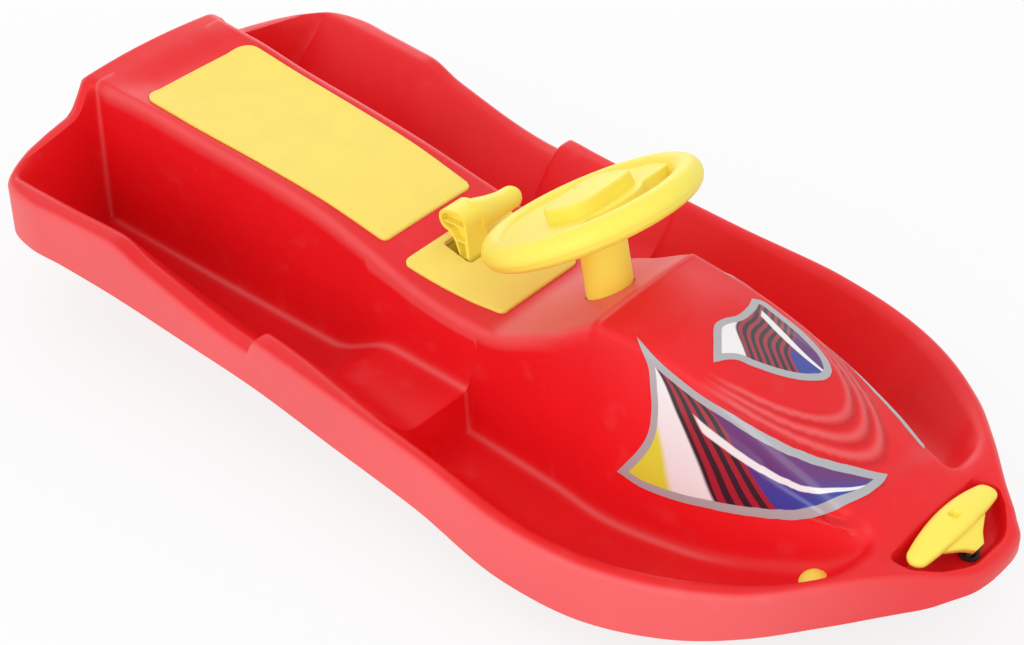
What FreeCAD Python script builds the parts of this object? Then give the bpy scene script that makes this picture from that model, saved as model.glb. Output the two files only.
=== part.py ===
import FreeCAD
import Part
import math
import os

# Child's steering sled. x points to the nose, y to the rider's left, z up.
# The origin lies on the ground under the middle of the body. Lengths are in millimetres.

V = FreeCAD.Vector
MID_PLANE = V(0, 1, 0)
ACROSS = V(0, 1, 0)
UP = V(0, 0, 1)
REACH = 400.0            # half size of the blocks that trim the pieces

# Body in plan: half outline of the rim, from the rear middle round to the nose
margin = 10.0            # how far the trimming forms pass the body
half_length = 523.5
half_beam = 246.0
rim_plan = [
    (-half_length, 0.0),
    (-half_length + 2.5, half_beam - 176.0),
    (-half_length + 11.5, half_beam - 96.0),
    (-half_length + 24.0, half_beam - 52.0),
    (-half_length + 46.0, half_beam - 20.0),
    (-half_length + 82.0, half_beam - 9.0),
    (-half_length + 130.0, half_beam - 11.0),
    (-324.0, half_beam - 15.0),
    (-124.0, half_beam - 16.0),
    (76.0, half_beam - 8.5),
    (196.0, half_beam),
    (266.0, half_beam - 9.0),
    (half_length - 187.5, half_beam - 35.0),
    (half_length - 127.5, half_beam - 76.0),
    (half_length - 87.5, half_beam - 119.0),
    (half_length - 47.5, half_beam - 165.0),
    (half_length - 17.5, 50.0),
    (half_length - 6.0, 36.0),
    (half_length - 1.0, 18.0),
    (half_length, 0.0),
]
rear_corner = 5          # the outline's point where the side begins
rim_width = [(-324.0, 22.0), (-124.0, 23.0), (36.0, 14.0), (236.0, 16.0), (396.0, 20.0)]

# Heights along the body
notch_rear_x = -329.0    # hand-hold notch in the rim, long slope in front of the grip
notch_foot_x = -286.0
notch_low_x = -142.0
notch_front_x = -131.0
rim_top = [
    (-half_length, 147.0), (notch_rear_x, 145.0), (notch_foot_x, 131.0), (notch_low_x, 104.5),
    (notch_front_x, 122.0), (-104.0, 119.6), (76.0, 105.0), (176.0, 97.0), (276.0, 93.0),
    (376.0, 93.0), (456.0, 101.5), (half_length, 96.0),
]
skirt_foot = [
    (-half_length, 89.0), (-444.0, 89.0), (-224.0, 74.0), (-144.0, 70.0), (-24.0, 57.0),
    (76.0, 49.0), (176.0, 37.0), (256.0, 33.0), (336.0, 38.0), (416.0, 51.0),
    (456.0, 57.0), (490.0, 64.0), (506.0, 72.0), (half_length, 81.0),
]
dash_foot_x = 39.0       # the dashboard slopes up from here to the rear edge of the bonnet
bonnet_x = 144.0
bonnet_height = 192.0
ridge = [
    (-half_length, 190.0), (-494.0, 187.0), (-458.0, 178.0), (-284.0, 169.0), (-204.0, 163.0),
    (-124.0, 151.0), (-44.0, 134.0), (-4.0, 130.0), (21.0, 130.0), (dash_foot_x, 133.0),
    (60.0, 143.0), (102.0, 169.0), (bonnet_x, bonnet_height), (201.0, bonnet_height + 3.0),
    (274.0, 183.0), (346.0, 160.0), (376.0, 145.0), (416.0, 124.0), (446.0, 106.0),
    (466.0, 100.0), (half_length, 96.0),
]
shoulder = [
    (-half_length, 188.0), (-444.0, 187.0), (-364.0, 179.5), (-284.0, 174.0), (-204.0, 166.0),
    (-124.0, 150.0), (-44.0, 132.5), (-4.0, 129.0), (21.0, 129.0), (dash_foot_x, 132.0),
    (78.0, 150.0), (98.0, 160.0), (bonnet_x, bonnet_height - 2.0), (201.0, 187.0),
    (274.0, 173.0), (310.0, 162.0), (346.0, 147.5), (376.0, 135.5), (416.0, 116.0),
    (446.0, 104.0), (466.0, 99.0), (half_length, 96.0),
]
deck_step = [(-494.0, 1.0), (-470.0, 0.0)]   # the rear deck ends in a step beside the rim
deck_step_run = 10.0
deck_step_foot = 5.0     # above the rim
crown_share = 0.55       # the crown's edge against the shoulder, in width
crown_mix = 0.2          # and its height between ridge and shoulder
shoulder_half = [
    (-half_length, 90.0), (-364.0, 83.0), (-204.0, 80.0), (-44.0, 86.0), (98.0, 80.0),
    (bonnet_x, 72.0), (274.0, 66.0), (326.0, 66.0), (376.0, 62.0), (416.0, 56.0), (446.0, 52.0),
]

# Foot wells: one pocket on each side, with a footrest step across it
wall = 4.0
well_rear_x = -496.0
well_slant = 0.23        # the rear wall runs forward towards the rim
well_front_x = 434.0
rest_foot_x = -164.0
rest_rear_x = -76.0
rest_front_x = 13.0
rest_height = 62.0
rest_draft = 3.0
well_floor = [(-496.0, 24.0), (rest_foot_x, 27.0), (rest_rear_x, rest_height), (rest_front_x, rest_height)]
front_floor = [
    (rest_front_x + rest_draft, 14.0), (126.0, 14.0), (191.0, 15.0), (276.0, 24.0), (326.0, 35.0),
    (376.0, 51.0), (401.0, 60.0), (416.0, 72.0), (well_front_x, 93.0),
]
well_inner = [
    (-496.0, 90.0), (-24.0, 93.0), (126.0, 100.0), (191.0, 107.0), (276.0, 102.0), (326.0, 95.0),
    (376.0, 84.0), (416.0, 72.0), (well_front_x, 66.0),
]
well_outer = [
    (-496.0, 108.0), (-324.0, 122.0), (rest_foot_x, 140.0), (rest_rear_x, 165.0), (rest_front_x, 178.0),
]
front_outer = [
    (rest_front_x + rest_draft, 152.0), (126.0, 168.0), (191.0, 176.0), (276.0, 165.0),
    (326.0, 148.0), (376.0, 122.0), (416.0, 98.0), (well_front_x, 80.0),
]
well_stations = [
    -364.0, notch_rear_x, notch_foot_x, -204.0, rest_foot_x, notch_low_x, notch_front_x, rest_rear_x, -44.0,
]
front_stations = [dash_foot_x, 78.0, 98.0, bonnet_x, 236.0, 310.0, 346.0]
front_stations += [x for x, floor in front_floor[1:]]
well_tip_run = 6.0       # slope at the front end of a well
shoulder_bevel = 7.0
lip_bevel = 4.0
bevel_pass = 1.0         # how far the bevels pass the surfaces that they cut

# Runner ribs under the wells
runner_inner = 90.0
runner_width = 9.0
runner_sole = [
    (-484.0, 17.0), (-424.0, 10.0), (-324.0, 4.0), (-224.0, 0.0), (146.0, 0.0), (226.0, 4.0), (306.0, 20.0),
]

# Seat pads, let into the top of the saddle
pad_clear = 0.5
pad_lay = 0.1            # room under the pads for glue
pad_sunk = 5.0
pad_proud = 2.5
pad_crown = 2.0
pad_edge = 3.0
pad_crown_share = 0.8    # of the crown, halfway to the side
bed_edge = 0.1           # the beds have sharp edges
seat_rear_x = -446.0
seat_front_x = -121.0
seat_rear_half = 72.0
seat_front_half = 62.0
front_pad_rear_x = -92.0
front_pad_front_x = 21.0
front_pad_rear_half = 68.0
front_pad_half = 55.0

# Steering: column through the dashboard, wheel on top, ski below
column_x = 102.0
column_z = 169.0
column_lean = 12.0       # degrees back from upright
column_radius = 22.5
neck_radius = 15.0
spigot_radius = 11.0
run_clear = 0.06         # radial running clearance of bushes and pins
fit_clear = 0.02         # radial clearance of fixed fits
part_gap = 0.6           # gap between pieces that move past each other
bush_wall = 3.0
bush_length = 22.0
bush_drop = 13.0         # top of the upper bush below the dashboard, along the column
boss_wall = 5.0
boss_pass = 40.0         # how far the boss and its bores pass the dashboard
low_bore_top = 80.0      # top of the lower bore below the dashboard, along the column
shelf_z = 50.0
shelf_thick = 7.0
shelf_length = 96.0
shelf_boss_depth = 18.0
wheel_rise = 79.2        # wheel centre above the dashboard, along the column
wheel_tilt = 31.4        # degrees, front edge up
ring_radius = 92.8
ring_tube = 13.5
ring_back = 8.2          # ring's middle behind the column, in the wheel's plane
hub_radius = 42.0
hub_half = 11.0
web_half = 6.0
web_open = 150.0         # degrees of the opening in front of the hub
cover_radius = 38.0
cover_height = 9.0
bolt_radius = 4.0
bolt_head_radius = 7.5
bolt_head_height = 5.5
bolt_pass = 40.0         # how far the bolt holes pass the faces that they start from
wheel_bolt_length = 36.0
hub_roof = 4.0           # column's top below the wheel's middle
cover_draft = 3.0
ski_length = 230.0
ski_half = 28.0
ski_thick = 7.0
ski_sole_z = 7.0
ski_rise = 26.0
ski_boss_radius = 22.0
ski_boss_height = 14.0
ski_tail_run = 12.0
ski_tail_rise = 3.0
ski_corner = 21.0        # half side of the block that trims each corner
ski_corner_out = 0.55    # its middle outside the corner, in half sides
ski_boss_sunk = 2.0
ski_nut_height = 6.0
ski_seat_lift = 2.0      # the bolt's seat above the nut's room
ski_bolt_head = 4.0
ski_bolt_grip = 24.0     # thread inside the column
ski_thread_room = 6.0
fin_share = 0.6          # guide fin under the ski, against the ski's length
fin_setback = 16.0
fin_width = 6.0
fin_depth = 5.0
washer_thick = 2.0

# Brake: lever on an axle under the saddle, claw behind it
brake_x = -44.0
brake_z = 80.0
axle_radius = 4.0
axle_stub = 4.0          # axle outside the cheeks
cheek_gap = 78.0         # between the two hanging cheeks
cheek_thick = 6.0
cheek_length = 46.0
cheek_drop = 12.0        # below the axle
lever_hub_radius = 12.0
lever_hub_width = 40.0
lever_back = 13.7        # degrees back from upright
lever_reach = 88.5       # axle to grip
stem_thick = 10.0
stem_foot_width = 26.0
stem_top_width = 34.0
stem_side = -8.0         # the stem's top leans to the rider's right
stem_bend_share = 0.6    # where the stem begins to widen
stem_bend_width = 28.0
lever_swing = 10.0       # degrees of pull
slot_clear = 3.0
grip_radius = 11.0
grip_end_y = 66.0
gusset_sunk = 8.0
gusset_drop = 27.0
gusset_run = 32.0
gusset_thick = 6.0
arm_length = 92.0
arm_z = 38.0
arm_width = 30.0
arm_thick = 10.0
claw_thick = 3.0
claw_length = 40.0
claw_width = 60.0
claw_teeth = 5
tooth_drop = 26.0
screw_radius = 2.5
screw_head_radius = 4.5
screw_head_height = 2.5
screw_setback = 14.0     # from the arm's end
screw_roof = 2.0         # arm above the screws' points
screw_pass = 20.0        # how far the screws' holes pass the arm
spring_turns = 4
spring_pitch = 3.0
spring_wire = 1.1
spring_clear = 0.3       # between the spring's turns and the axle
spring_leg = 22.0
clip_thick = 1.5
clip_radius = 7.5

# Tow handle, cord and reel in the nose
handle_x = 472.0
handle_half = 62.0
handle_end_z = 100.0
handle_mid_z = 106.0
handle_width = 30.0
handle_thick = 17.0
handle_end_share = 0.55  # the bar's section at its ends against its middle
handle_eye_radius = 5.0
handle_facets = 12
handle_web_half = 4.5    # half thickness of the web below the bar
handle_tip_half = 6.0    # half width of the web where the cord goes in
recess_rear_x = 452.0
recess_front_x = 513.0
recess_floor_z = 79.0
recess_bend_x = 483.0
recess_half = 68.0
recess_tip_half = 20.0
recess_draft = 8.0
eyelet_x = 491.0
eyelet_radius = 9.0
eyelet_bore = 5.6
eyelet_flange = 2.0
eyelet_lip = 2.0
pull_rise = 58.0         # degrees, direction of the pull above level
cord_radius = 2.0
cord_hidden = 42.0       # cord from the eyelet down to the spool
cord_shown = 14.0        # cord from the eyelet up to the handle
cord_sunk = 2.5          # cord inside the handle
wound_radius = 13.0      # middle of the outermost turn on the spool
reel_radius = 22.0
reel_wall = 2.5
reel_half = 15.0
cover_thick = 3.0
keel_wall = 3.0
keel_rear_gap = 6.0      # behind the reel
keel_drop = 8.0          # below the reel's axle
keel_lead = 13.0         # the prow's outer face in front of the cord
spool_core = 8.0
spool_flange_radius = 18.0
spool_flange = 2.0
winding_width = 10.0
reel_pin_radius = 3.0
spring_band_outer = 16.0
plug_x = 401.0           # yellow plugs in the front gutters
plug_y = 92.0
plug_head_radius = 14.0
plug_head_height = 10.0
plug_shank_radius = 5.0
plug_seat_z = 58.0
plug_seat_radius = 17.0
plug_seat_depth = 14.0
plug_barb = 1.5


def along(stations, x):
    """Height or width at x on a smooth line through (x, value) stations, level past both ends."""
    if x <= stations[0][0]:
        return stations[0][1]
    if x >= stations[-1][0]:
        return stations[-1][1]
    rises = [(b[1] - a[1]) / (b[0] - a[0]) for a, b in zip(stations, stations[1:])]
    i = max(k for k, s in enumerate(stations) if s[0] <= x)

    def slope(k):
        if k == 0 or k == len(rises):
            return rises[min(k, len(rises) - 1)]
        before, after = rises[k - 1], rises[k]
        return 2.0 * before * after / (before + after) if before * after > 0 else 0.0

    (x0, v0), (x1, v1) = stations[i], stations[i + 1]
    t = (x - x0) / (x1 - x0)
    bend = (x1 - x0) * t * (1 - t)
    return (v0 + (v1 - v0) * t * t * (3 - 2 * t)
            + bend * (slope(i) * (1 - t) - slope(i + 1) * t))


def rim_half(x):
    """Half width of the rim at x, forward of the rear corner."""
    return along(rim_plan[rear_corner:], x)


def rim_inner_half(x):
    return rim_half(x) - along(rim_width, x)


def polygon(points):
    return Part.makePolygon(points + [points[0]])


def ruled(sections):
    return Part.makeLoft([polygon(points) for points in sections], True, True)


def prism(points, reach):
    return Part.Face(polygon(points)).extrude(reach)


def rod(start, axis, radius, length):
    return Part.makeCylinder(radius, length, start, axis)


def ring(start, axis, outer, inner, length):
    return rod(start, axis, outer, length).cut(rod(start, axis, inner, length))


def both_sides(shape):
    return [shape, shape.mirror(V(0, 0, 0), MID_PLANE)]


def united(shapes):
    return shapes[0].fuse(shapes[1:]).removeSplitter()


def leaned(shape, angle, place):
    """Tips a piece built upright at the origin back by angle and moves it to place."""
    tipped = shape.copy()
    tipped.rotate(V(0, 0, 0), ACROSS, -angle)
    tipped.translate(place)
    return tipped


def lean_axis(angle):
    tip = math.radians(angle)
    return V(-math.sin(tip), 0, math.cos(tip))


column_foot = V(column_x, 0, column_z)
column_axis = lean_axis(column_lean)
wheel_middle = column_foot + column_axis * wheel_rise
wheel_axis = lean_axis(wheel_tilt)
pull_axis = V(math.cos(math.radians(pull_rise)), 0, math.sin(math.radians(pull_rise)))
eyelet_point = V(eyelet_x, 0, recess_floor_z)
spool_side = pull_axis.cross(ACROSS)
spool_point = eyelet_point - pull_axis * cord_hidden + spool_side * wound_radius


def at_column(z):
    """Distance along the column from the dashboard to height z."""
    return (z - column_z) / column_axis.z


def plan_prism(inset):
    """Upright prism on the rim's outline, drawn in by inset."""
    outline = rim_plan + [(x, -y) for x, y in rim_plan[-2:0:-1]]
    count = len(outline)
    points = []
    for k, (x, y) in enumerate(outline):
        before, after = outline[k - 1], outline[(k + 1) % count]
        along_x, along_y = after[0] - before[0], after[1] - before[1]
        length = math.hypot(along_x, along_y)
        points.append(V(x + along_y / length * inset, y - along_x / length * inset, -2 * margin))
    curve = Part.BSplineCurve()
    curve.interpolate(Points=points, PeriodicFlag=True)
    return Part.Face(Part.Wire(curve.toShape())).extrude(V(0, 0, bonnet_height + 4 * margin))


def top_section(x, drop):
    """Cross-section of the body's upper form at x, lowered by drop."""
    half = along(shoulder_half, x)
    inner = max(rim_inner_half(x), half + wall)
    crown, edge, rim = along(ridge, x), along(shoulder, x), along(rim_top, x)
    step = min(half + deck_step_run, (half + inner) / 2)
    slope = edge + (rim - edge) * (step - half) / (inner - half)
    foot = slope + (rim + deck_step_foot - slope) * along(deck_step, x)
    right = [
        V(x, half_beam + margin, -margin),
        V(x, half_beam + margin, rim - drop),
        V(x, inner, rim - drop),
        V(x, step, foot - drop),
        V(x, half, edge - drop),
        V(x, half * crown_share, crown + (edge - crown) * crown_mix - drop),
    ]
    left = [V(p.x, -p.y, p.z) for p in reversed(right)]
    return right + [V(x, 0, crown - drop)] + left


def section_places():
    lines = (rim_top, ridge, shoulder)
    inside = sorted({x for line in lines for x, value in line})
    return [-half_length - margin] + inside + [half_length + margin]


def upper_form(drop, inset):
    form = ruled([top_section(x, drop) for x in section_places()])
    return form.common(plan_prism(inset))


def well_section(x, grow, front):
    """Cross-section of the left foot well at x, grown outwards by grow."""
    floor = along(front_floor if front else well_floor, x)
    outer = along(front_outer if front else well_outer, x) + grow
    foot = along(well_inner, x) - grow
    half = along(shoulder_half, x) - grow
    edge, rim, inner = along(shoulder, x), along(rim_top, x), rim_inner_half(x) + grow
    return [
        (half - shoulder_bevel, bonnet_height + margin),
        (half - shoulder_bevel, edge + bevel_pass),
        (half + bevel_pass, edge - shoulder_bevel),
        (foot, floor - grow),
        (outer, floor - grow),
        (inner, rim - lip_bevel),
        (inner + lip_bevel, rim + bevel_pass / 2),
        (inner + lip_bevel, bonnet_height + margin),
    ]


def foot_well(grow):
    """Left foot well as a solid, from the slanted rear wall to the tip beside the bonnet."""
    rear_x = well_rear_x - grow
    rear = well_section(rear_x + well_slant * half_beam / 2, grow, False)
    first = [V(rear_x + well_slant * (y - rear[0][0]), y, z) for y, z in rear]
    sections = [first]
    for x in well_stations + [rest_front_x - grow]:
        sections.append([V(x, y, z) for y, z in well_section(x, grow, False)])
    for x in [rest_front_x + rest_draft - grow] + sorted(front_stations):
        sections.append([V(x, y, z) for y, z in well_section(x, grow, True)])
    tip_x = well_front_x + well_tip_run + grow
    sections.append([V(tip_x, y, z) for y, z in well_section(well_front_x, grow, True)])
    return ruled(sections)


def pad_form(rear_x, front_x, rear_half, front_half, grow, low, high, crown, edge):
    """Block that follows the saddle's ridge; low and high are offsets from the ridge."""
    sections = []
    places = [x for x, value in ridge if rear_x < x < front_x]
    for x in [rear_x - grow] + places + [front_x + grow]:
        share = (x - rear_x) / (front_x - rear_x)
        half = rear_half + (front_half - rear_half) * share + grow
        base = along(ridge, x)
        side = [(half, low), (half, high - edge), (half - edge, high)]
        side += [(half / 2, high + crown * pad_crown_share)]
        points = [V(x, y, base + z) for y, z in side]
        points += [V(x, 0, base + high + crown)]
        points += [V(x, -y, base + z) for y, z in reversed(side)]
        sections.append(points)
    return ruled(sections)


def seat_form(grow, low, high, crown, edge):
    return pad_form(seat_rear_x, seat_front_x, seat_rear_half, seat_front_half,
                    grow, low, high, crown, edge)


def front_form(grow, low, high, crown, edge):
    return pad_form(front_pad_rear_x, front_pad_front_x, front_pad_rear_half, front_pad_half,
                    grow, low, high, crown, edge)


def lever_slot():
    """Slot in saddle and front pad that lets the stem swing, with slot_clear all round."""
    low = along(ridge, brake_x) - pad_sunk - wall - brake_z
    high = along(ridge, front_pad_rear_x) + pad_proud + pad_crown - brake_z
    rest, pulled = math.radians(lever_back), math.radians(lever_back + lever_swing)
    front = brake_x - low * math.tan(rest) + stem_thick / 2 / math.cos(rest) + slot_clear
    back = brake_x - high * math.tan(pulled) - stem_thick / 2 / math.cos(pulled) - slot_clear
    half = stem_top_width / 2 + slot_clear
    corner = V(back, stem_side / 2 - half, brake_z + 2 * lever_hub_radius)
    return Part.makeBox(front - back, 2 * half, REACH, corner)


def recess_form(grow):
    """Hollow in the nose for the tow handle, narrower towards the tip and towards its floor."""
    def outline(z, draw_in):
        rear, front = recess_rear_x - grow + draw_in, recess_front_x + grow - draw_in
        wide, tip = recess_half + grow - draw_in, recess_tip_half + grow - draw_in / 2
        half = [(rear, wide), (recess_bend_x, wide), (front, tip)]
        return [V(x, y, z) for x, y in half] + [V(x, -y, z) for x, y in reversed(half)]

    top = along(ridge, recess_rear_x) + margin
    return ruled([outline(recess_floor_z - grow, recess_draft), outline(top, 0.0)])


def keel_form():
    """Two cheeks and a prow under the nose, round the cord reel; the prow runs beside the cord."""
    rear_x = spool_point.x - reel_radius - keel_rear_gap
    foot_z = spool_point.z - keel_drop
    top = along(ridge, rear_x)

    def block(half, inset, base):
        face = eyelet_point - spool_side * (keel_lead - inset)
        foot = face + pull_axis * ((base - face.z) / pull_axis.z)
        head = face + pull_axis * ((top - face.z) / pull_axis.z)
        side = [V(rear_x + inset, -half, base), V(foot.x, -half, base), V(head.x, -half, top),
                V(rear_x + inset, -half, top)]
        return prism(side, V(0, 2 * half, 0))

    inner = reel_half + fit_clear
    return block(inner + keel_wall, 0.0, foot_z).cut(block(inner, keel_wall, foot_z - margin))


def runner():
    """Rib under the left well, from its sole up to the well's floor."""
    steps = [rest_foot_x, rest_rear_x, rest_front_x, rest_front_x + rest_draft]
    places = sorted([x for x, sole in runner_sole] + steps)
    floors = [(x, along(well_floor if x <= rest_front_x else front_floor, x)) for x in reversed(places)]
    top = [V(x, runner_inner, z) for x, z in floors]
    return prism([V(x, runner_inner, z) for x, z in runner_sole] + top, V(0, runner_width, 0))


def make_hull():
    outside = upper_form(0.0, 0.0)
    skirt = [(x, along(skirt_foot, x)) for x, value in skirt_foot]
    skirt = [(-REACH * 2, skirt[0][1])] + skirt + [(REACH * 2, skirt[-1][1])]
    below = [V(x, -REACH, z) for x, z in skirt]
    below += [V(REACH * 2, -REACH, -REACH * 2), V(-REACH * 2, -REACH, -REACH * 2)]
    shell = outside.cut(upper_form(wall, wall)).cut(prism(below, V(0, 2 * REACH, 0)))
    bush_foot = column_foot - column_axis * (bush_drop + bush_length)
    bush_outer = column_radius + run_clear + bush_wall
    boss_length = bush_drop + bush_length + boss_pass
    boss = rod(bush_foot - column_axis * wall, column_axis, bush_outer + boss_wall, boss_length)
    shelf_middle = column_foot + column_axis * at_column(shelf_z)
    shelf = Part.makeBox(shelf_length, 2 * along(well_inner, column_x), shelf_thick,
                         V(shelf_middle.x - shelf_length / 2, -along(well_inner, column_x), shelf_z))
    low_bush = spigot_radius + run_clear + bush_wall
    shelf_boss = rod(shelf_middle - column_axis * shelf_boss_depth, column_axis, low_bush + boss_wall,
                     shelf_boss_depth + shelf_thick / 2)
    cheek_top = along(ridge, brake_x)
    cheek = Part.makeBox(cheek_length, cheek_thick, cheek_top - brake_z + cheek_drop,
                         V(brake_x - cheek_length / 2, cheek_gap / 2, brake_z - cheek_drop))
    seat_bed = seat_form(pad_clear + wall, -pad_sunk - wall, 0.0, 0.0, bed_edge)
    front_bed = front_form(pad_clear + wall, -pad_sunk - wall, 0.0, 0.0, bed_edge)
    plug_foot = V(plug_x, plug_y, plug_seat_z - plug_seat_depth)
    plug_seat = rod(plug_foot, UP, plug_seat_radius, plug_seat_depth)
    within = [boss, cheek, seat_bed, front_bed, recess_form(wall), keel_form()]
    within += both_sides(foot_well(wall)) + [cheek.mirror(V(0, 0, 0), MID_PLANE)]
    inside = [shape.common(outside) for shape in within]
    body = shell.fuse(inside + [shelf, shelf_boss] + both_sides(runner()))
    body = body.cut(both_sides(foot_well(0.0)))
    body = body.fuse(both_sides(plug_seat))
    bores = [
        seat_form(pad_clear, -pad_sunk - pad_lay, REACH, 0.0, bed_edge),
        front_form(pad_clear, -pad_sunk - pad_lay, REACH, 0.0, bed_edge),
        rod(column_foot - column_axis * REACH, column_axis, low_bush + fit_clear, REACH - low_bore_top),
        rod(bush_foot, column_axis, bush_outer + fit_clear, boss_length),
        rod(bush_foot - column_axis * wall * 2, column_axis, column_radius + part_gap, REACH / 2),
        rod(V(brake_x, -cheek_gap, brake_z), ACROSS, axle_radius + fit_clear, 2 * cheek_gap),
        lever_slot(),
        recess_form(0.0),
        rod(eyelet_point - UP * wall * 3, UP, eyelet_radius - eyelet_lip + fit_clear, wall * 6),
        rod(spool_point - ACROSS * reel_half * 2, ACROSS, reel_pin_radius + fit_clear, reel_half * 4),
    ]
    bores += both_sides(rod(V(plug_x, plug_y, 0), UP, plug_shank_radius + fit_clear, 2 * plug_seat_z))
    bores += both_sides(rod(V(plug_x, plug_y, plug_seat_z), UP, plug_head_radius + part_gap, plug_seat_z))
    bores += both_sides(rod(V(plug_x, plug_y, 0), UP, plug_seat_radius, plug_seat_z - plug_seat_depth))
    return body.cut(bores)


def make_seat_pad():
    return seat_form(0.0, -pad_sunk, pad_proud, pad_crown, pad_edge)


def make_front_pad():
    return front_form(0.0, -pad_sunk, pad_proud, pad_crown, pad_edge).cut(lever_slot())


def make_upper_bush():
    start = column_foot - column_axis * (bush_drop + bush_length)
    inner = column_radius + run_clear
    return ring(start, column_axis, inner + bush_wall, inner, bush_length)


def lower_bush_start():
    return column_foot + column_axis * at_column(shelf_z) - column_axis * shelf_boss_depth


def make_lower_bush():
    inner = spigot_radius + run_clear
    sleeve = shelf_boss_depth + shelf_thick + wall * 2
    return ring(lower_bush_start(), column_axis, inner + bush_wall, inner, sleeve)


def neck_foot():
    """Distance along the column to the shoulder that rides on the lower bush."""
    return at_column(shelf_z) + shelf_thick + wall * 2 + part_gap / 2


def spigot_foot():
    return at_column(ski_sole_z + ski_thick + ski_boss_height)


def make_steering_column():
    thick_foot = -(bush_drop + bush_length + wall / 2)
    stem = rod(V(0, 0, thick_foot), UP, column_radius, wheel_rise + 2 * hub_radius - thick_foot)
    neck = rod(V(0, 0, neck_foot()), UP, neck_radius, thick_foot - neck_foot())
    spigot = rod(V(0, 0, spigot_foot()), UP, spigot_radius, neck_foot() - spigot_foot())
    column = leaned(united([stem, neck, spigot]), column_lean, column_foot)
    above = Part.makeBox(2 * REACH, 2 * REACH, REACH, V(-REACH, -REACH, -hub_half))
    column = column.cut(leaned(above, wheel_tilt, wheel_middle))
    top = rod(V(0, 0, wheel_rise - hub_half * 2), UP, neck_radius, hub_half * 2 - hub_roof)
    column = united([column, leaned(top, column_lean, column_foot)])
    wheel_hole = rod(V(0, 0, wheel_rise - bolt_pass), UP, bolt_radius + fit_clear, 2 * bolt_pass)
    ski_hole = rod(V(0, 0, spigot_foot()), UP, bolt_radius + fit_clear, ski_bolt_grip + ski_thread_room)
    return column.cut([leaned(s, column_lean, column_foot) for s in (wheel_hole, ski_hole)])


def make_steering_wheel():
    hoop = Part.makeTorus(ring_radius, ring_tube, V(-ring_back, 0, 0))
    hub = rod(V(0, 0, -hub_half), UP, hub_radius, 2 * hub_half)
    disc = rod(V(-ring_back, 0, -web_half), UP, ring_radius, 2 * web_half)
    half_open = math.radians(web_open / 2)
    far = 2 * ring_radius
    edge_x, edge_y = far * math.cos(half_open), far * math.sin(half_open)
    gap = prism([V(0, 0, -far), V(edge_x, -edge_y, -far), V(far * 2, 0, -far), V(edge_x, edge_y, -far)],
                V(0, 0, 2 * far))
    wheel = leaned(united([hoop, hub, disc.cut(gap)]), wheel_tilt, wheel_middle)
    socket = rod(V(0, 0, wheel_rise - hub_half * 3), UP, neck_radius + fit_clear, hub_half * 3 - hub_roof)
    head_seat = rod(V(0, 0, wheel_rise), UP, bolt_head_radius + part_gap, bolt_pass)
    hole = rod(V(0, 0, wheel_rise - bolt_pass), UP, bolt_radius + fit_clear, 2 * bolt_pass)
    return wheel.cut([leaned(s, column_lean, column_foot) for s in (socket, head_seat, hole)])


def make_wheel_bolt():
    head = rod(V(0, 0, wheel_rise), UP, bolt_head_radius, bolt_head_height)
    shank = rod(V(0, 0, wheel_rise - wheel_bolt_length), UP, bolt_radius, wheel_bolt_length)
    return leaned(united([head, shank]), column_lean, column_foot)


def make_hub_cover():
    block = Part.makeCone(cover_radius, cover_radius - cover_draft, cover_height, V(0, 0, hub_half), UP)
    return leaned(block, wheel_tilt, wheel_middle)


def ski_middle():
    return column_foot + column_axis * at_column(ski_sole_z + ski_thick)


def make_front_ski():
    middle = ski_middle()
    front_x, rear_x = middle.x + ski_length / 2, middle.x - ski_length / 2
    low, high = ski_sole_z, ski_sole_z + ski_thick
    bend_x = front_x - ski_rise * 2
    profile = [
        (rear_x, low + ski_tail_rise), (rear_x + ski_tail_run, low), (bend_x, low), (front_x, low + ski_rise),
        (front_x, high + ski_rise), (bend_x, high), (rear_x, high),
    ]
    blade = prism([V(x, -ski_half, z) for x, z in profile], V(0, 2 * ski_half, 0))
    trim = Part.makeBox(ski_corner * 2, ski_corner * 2, REACH, V(-ski_corner, -ski_corner, -REACH / 2))
    trim.rotate(V(0, 0, 0), UP, 45.0)
    out = ski_corner * ski_corner_out
    cuts = []
    for x in (rear_x - out, front_x + out):
        cuts += both_sides(trim.translated(V(x, ski_half + out, 0)))
    boss = rod(V(0, 0, -ski_boss_sunk), UP, ski_boss_radius, ski_boss_height + ski_boss_sunk)
    hole = rod(V(0, 0, bolt_seat() - bolt_pass), UP, bolt_radius + fit_clear, 2 * bolt_pass)
    head_room = bolt_head_radius + part_gap + washer_thick
    head = rod(V(0, 0, bolt_seat() - bolt_pass), UP, head_room, bolt_pass)
    fin_corner = V(rear_x + fin_setback, -fin_width / 2, low - fin_depth)
    fin = Part.makeBox(ski_length * fin_share, fin_width, fin_depth, fin_corner)
    solid = united([blade.cut(cuts), leaned(boss, column_lean, middle), fin])
    return solid.cut([leaned(s, column_lean, column_foot) for s in (hole, head)])


def bolt_seat():
    """Distance along the column to the face that the ski bolt's washer presses on."""
    return at_column(ski_sole_z) + ski_seat_lift + ski_nut_height


def make_ski_washer():
    outer = bolt_head_radius + washer_thick
    washer = ring(V(0, 0, bolt_seat() - washer_thick), UP, outer, bolt_radius + fit_clear, washer_thick)
    return leaned(washer, column_lean, column_foot)


def make_ski_bolt():
    top = bolt_seat() - washer_thick
    head = rod(V(0, 0, top - ski_bolt_head), UP, bolt_head_radius, ski_bolt_head)
    shank = rod(V(0, 0, top), UP, bolt_radius, spigot_foot() - top + ski_bolt_grip)
    return leaned(united([head, shank]), column_lean, column_foot)


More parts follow.
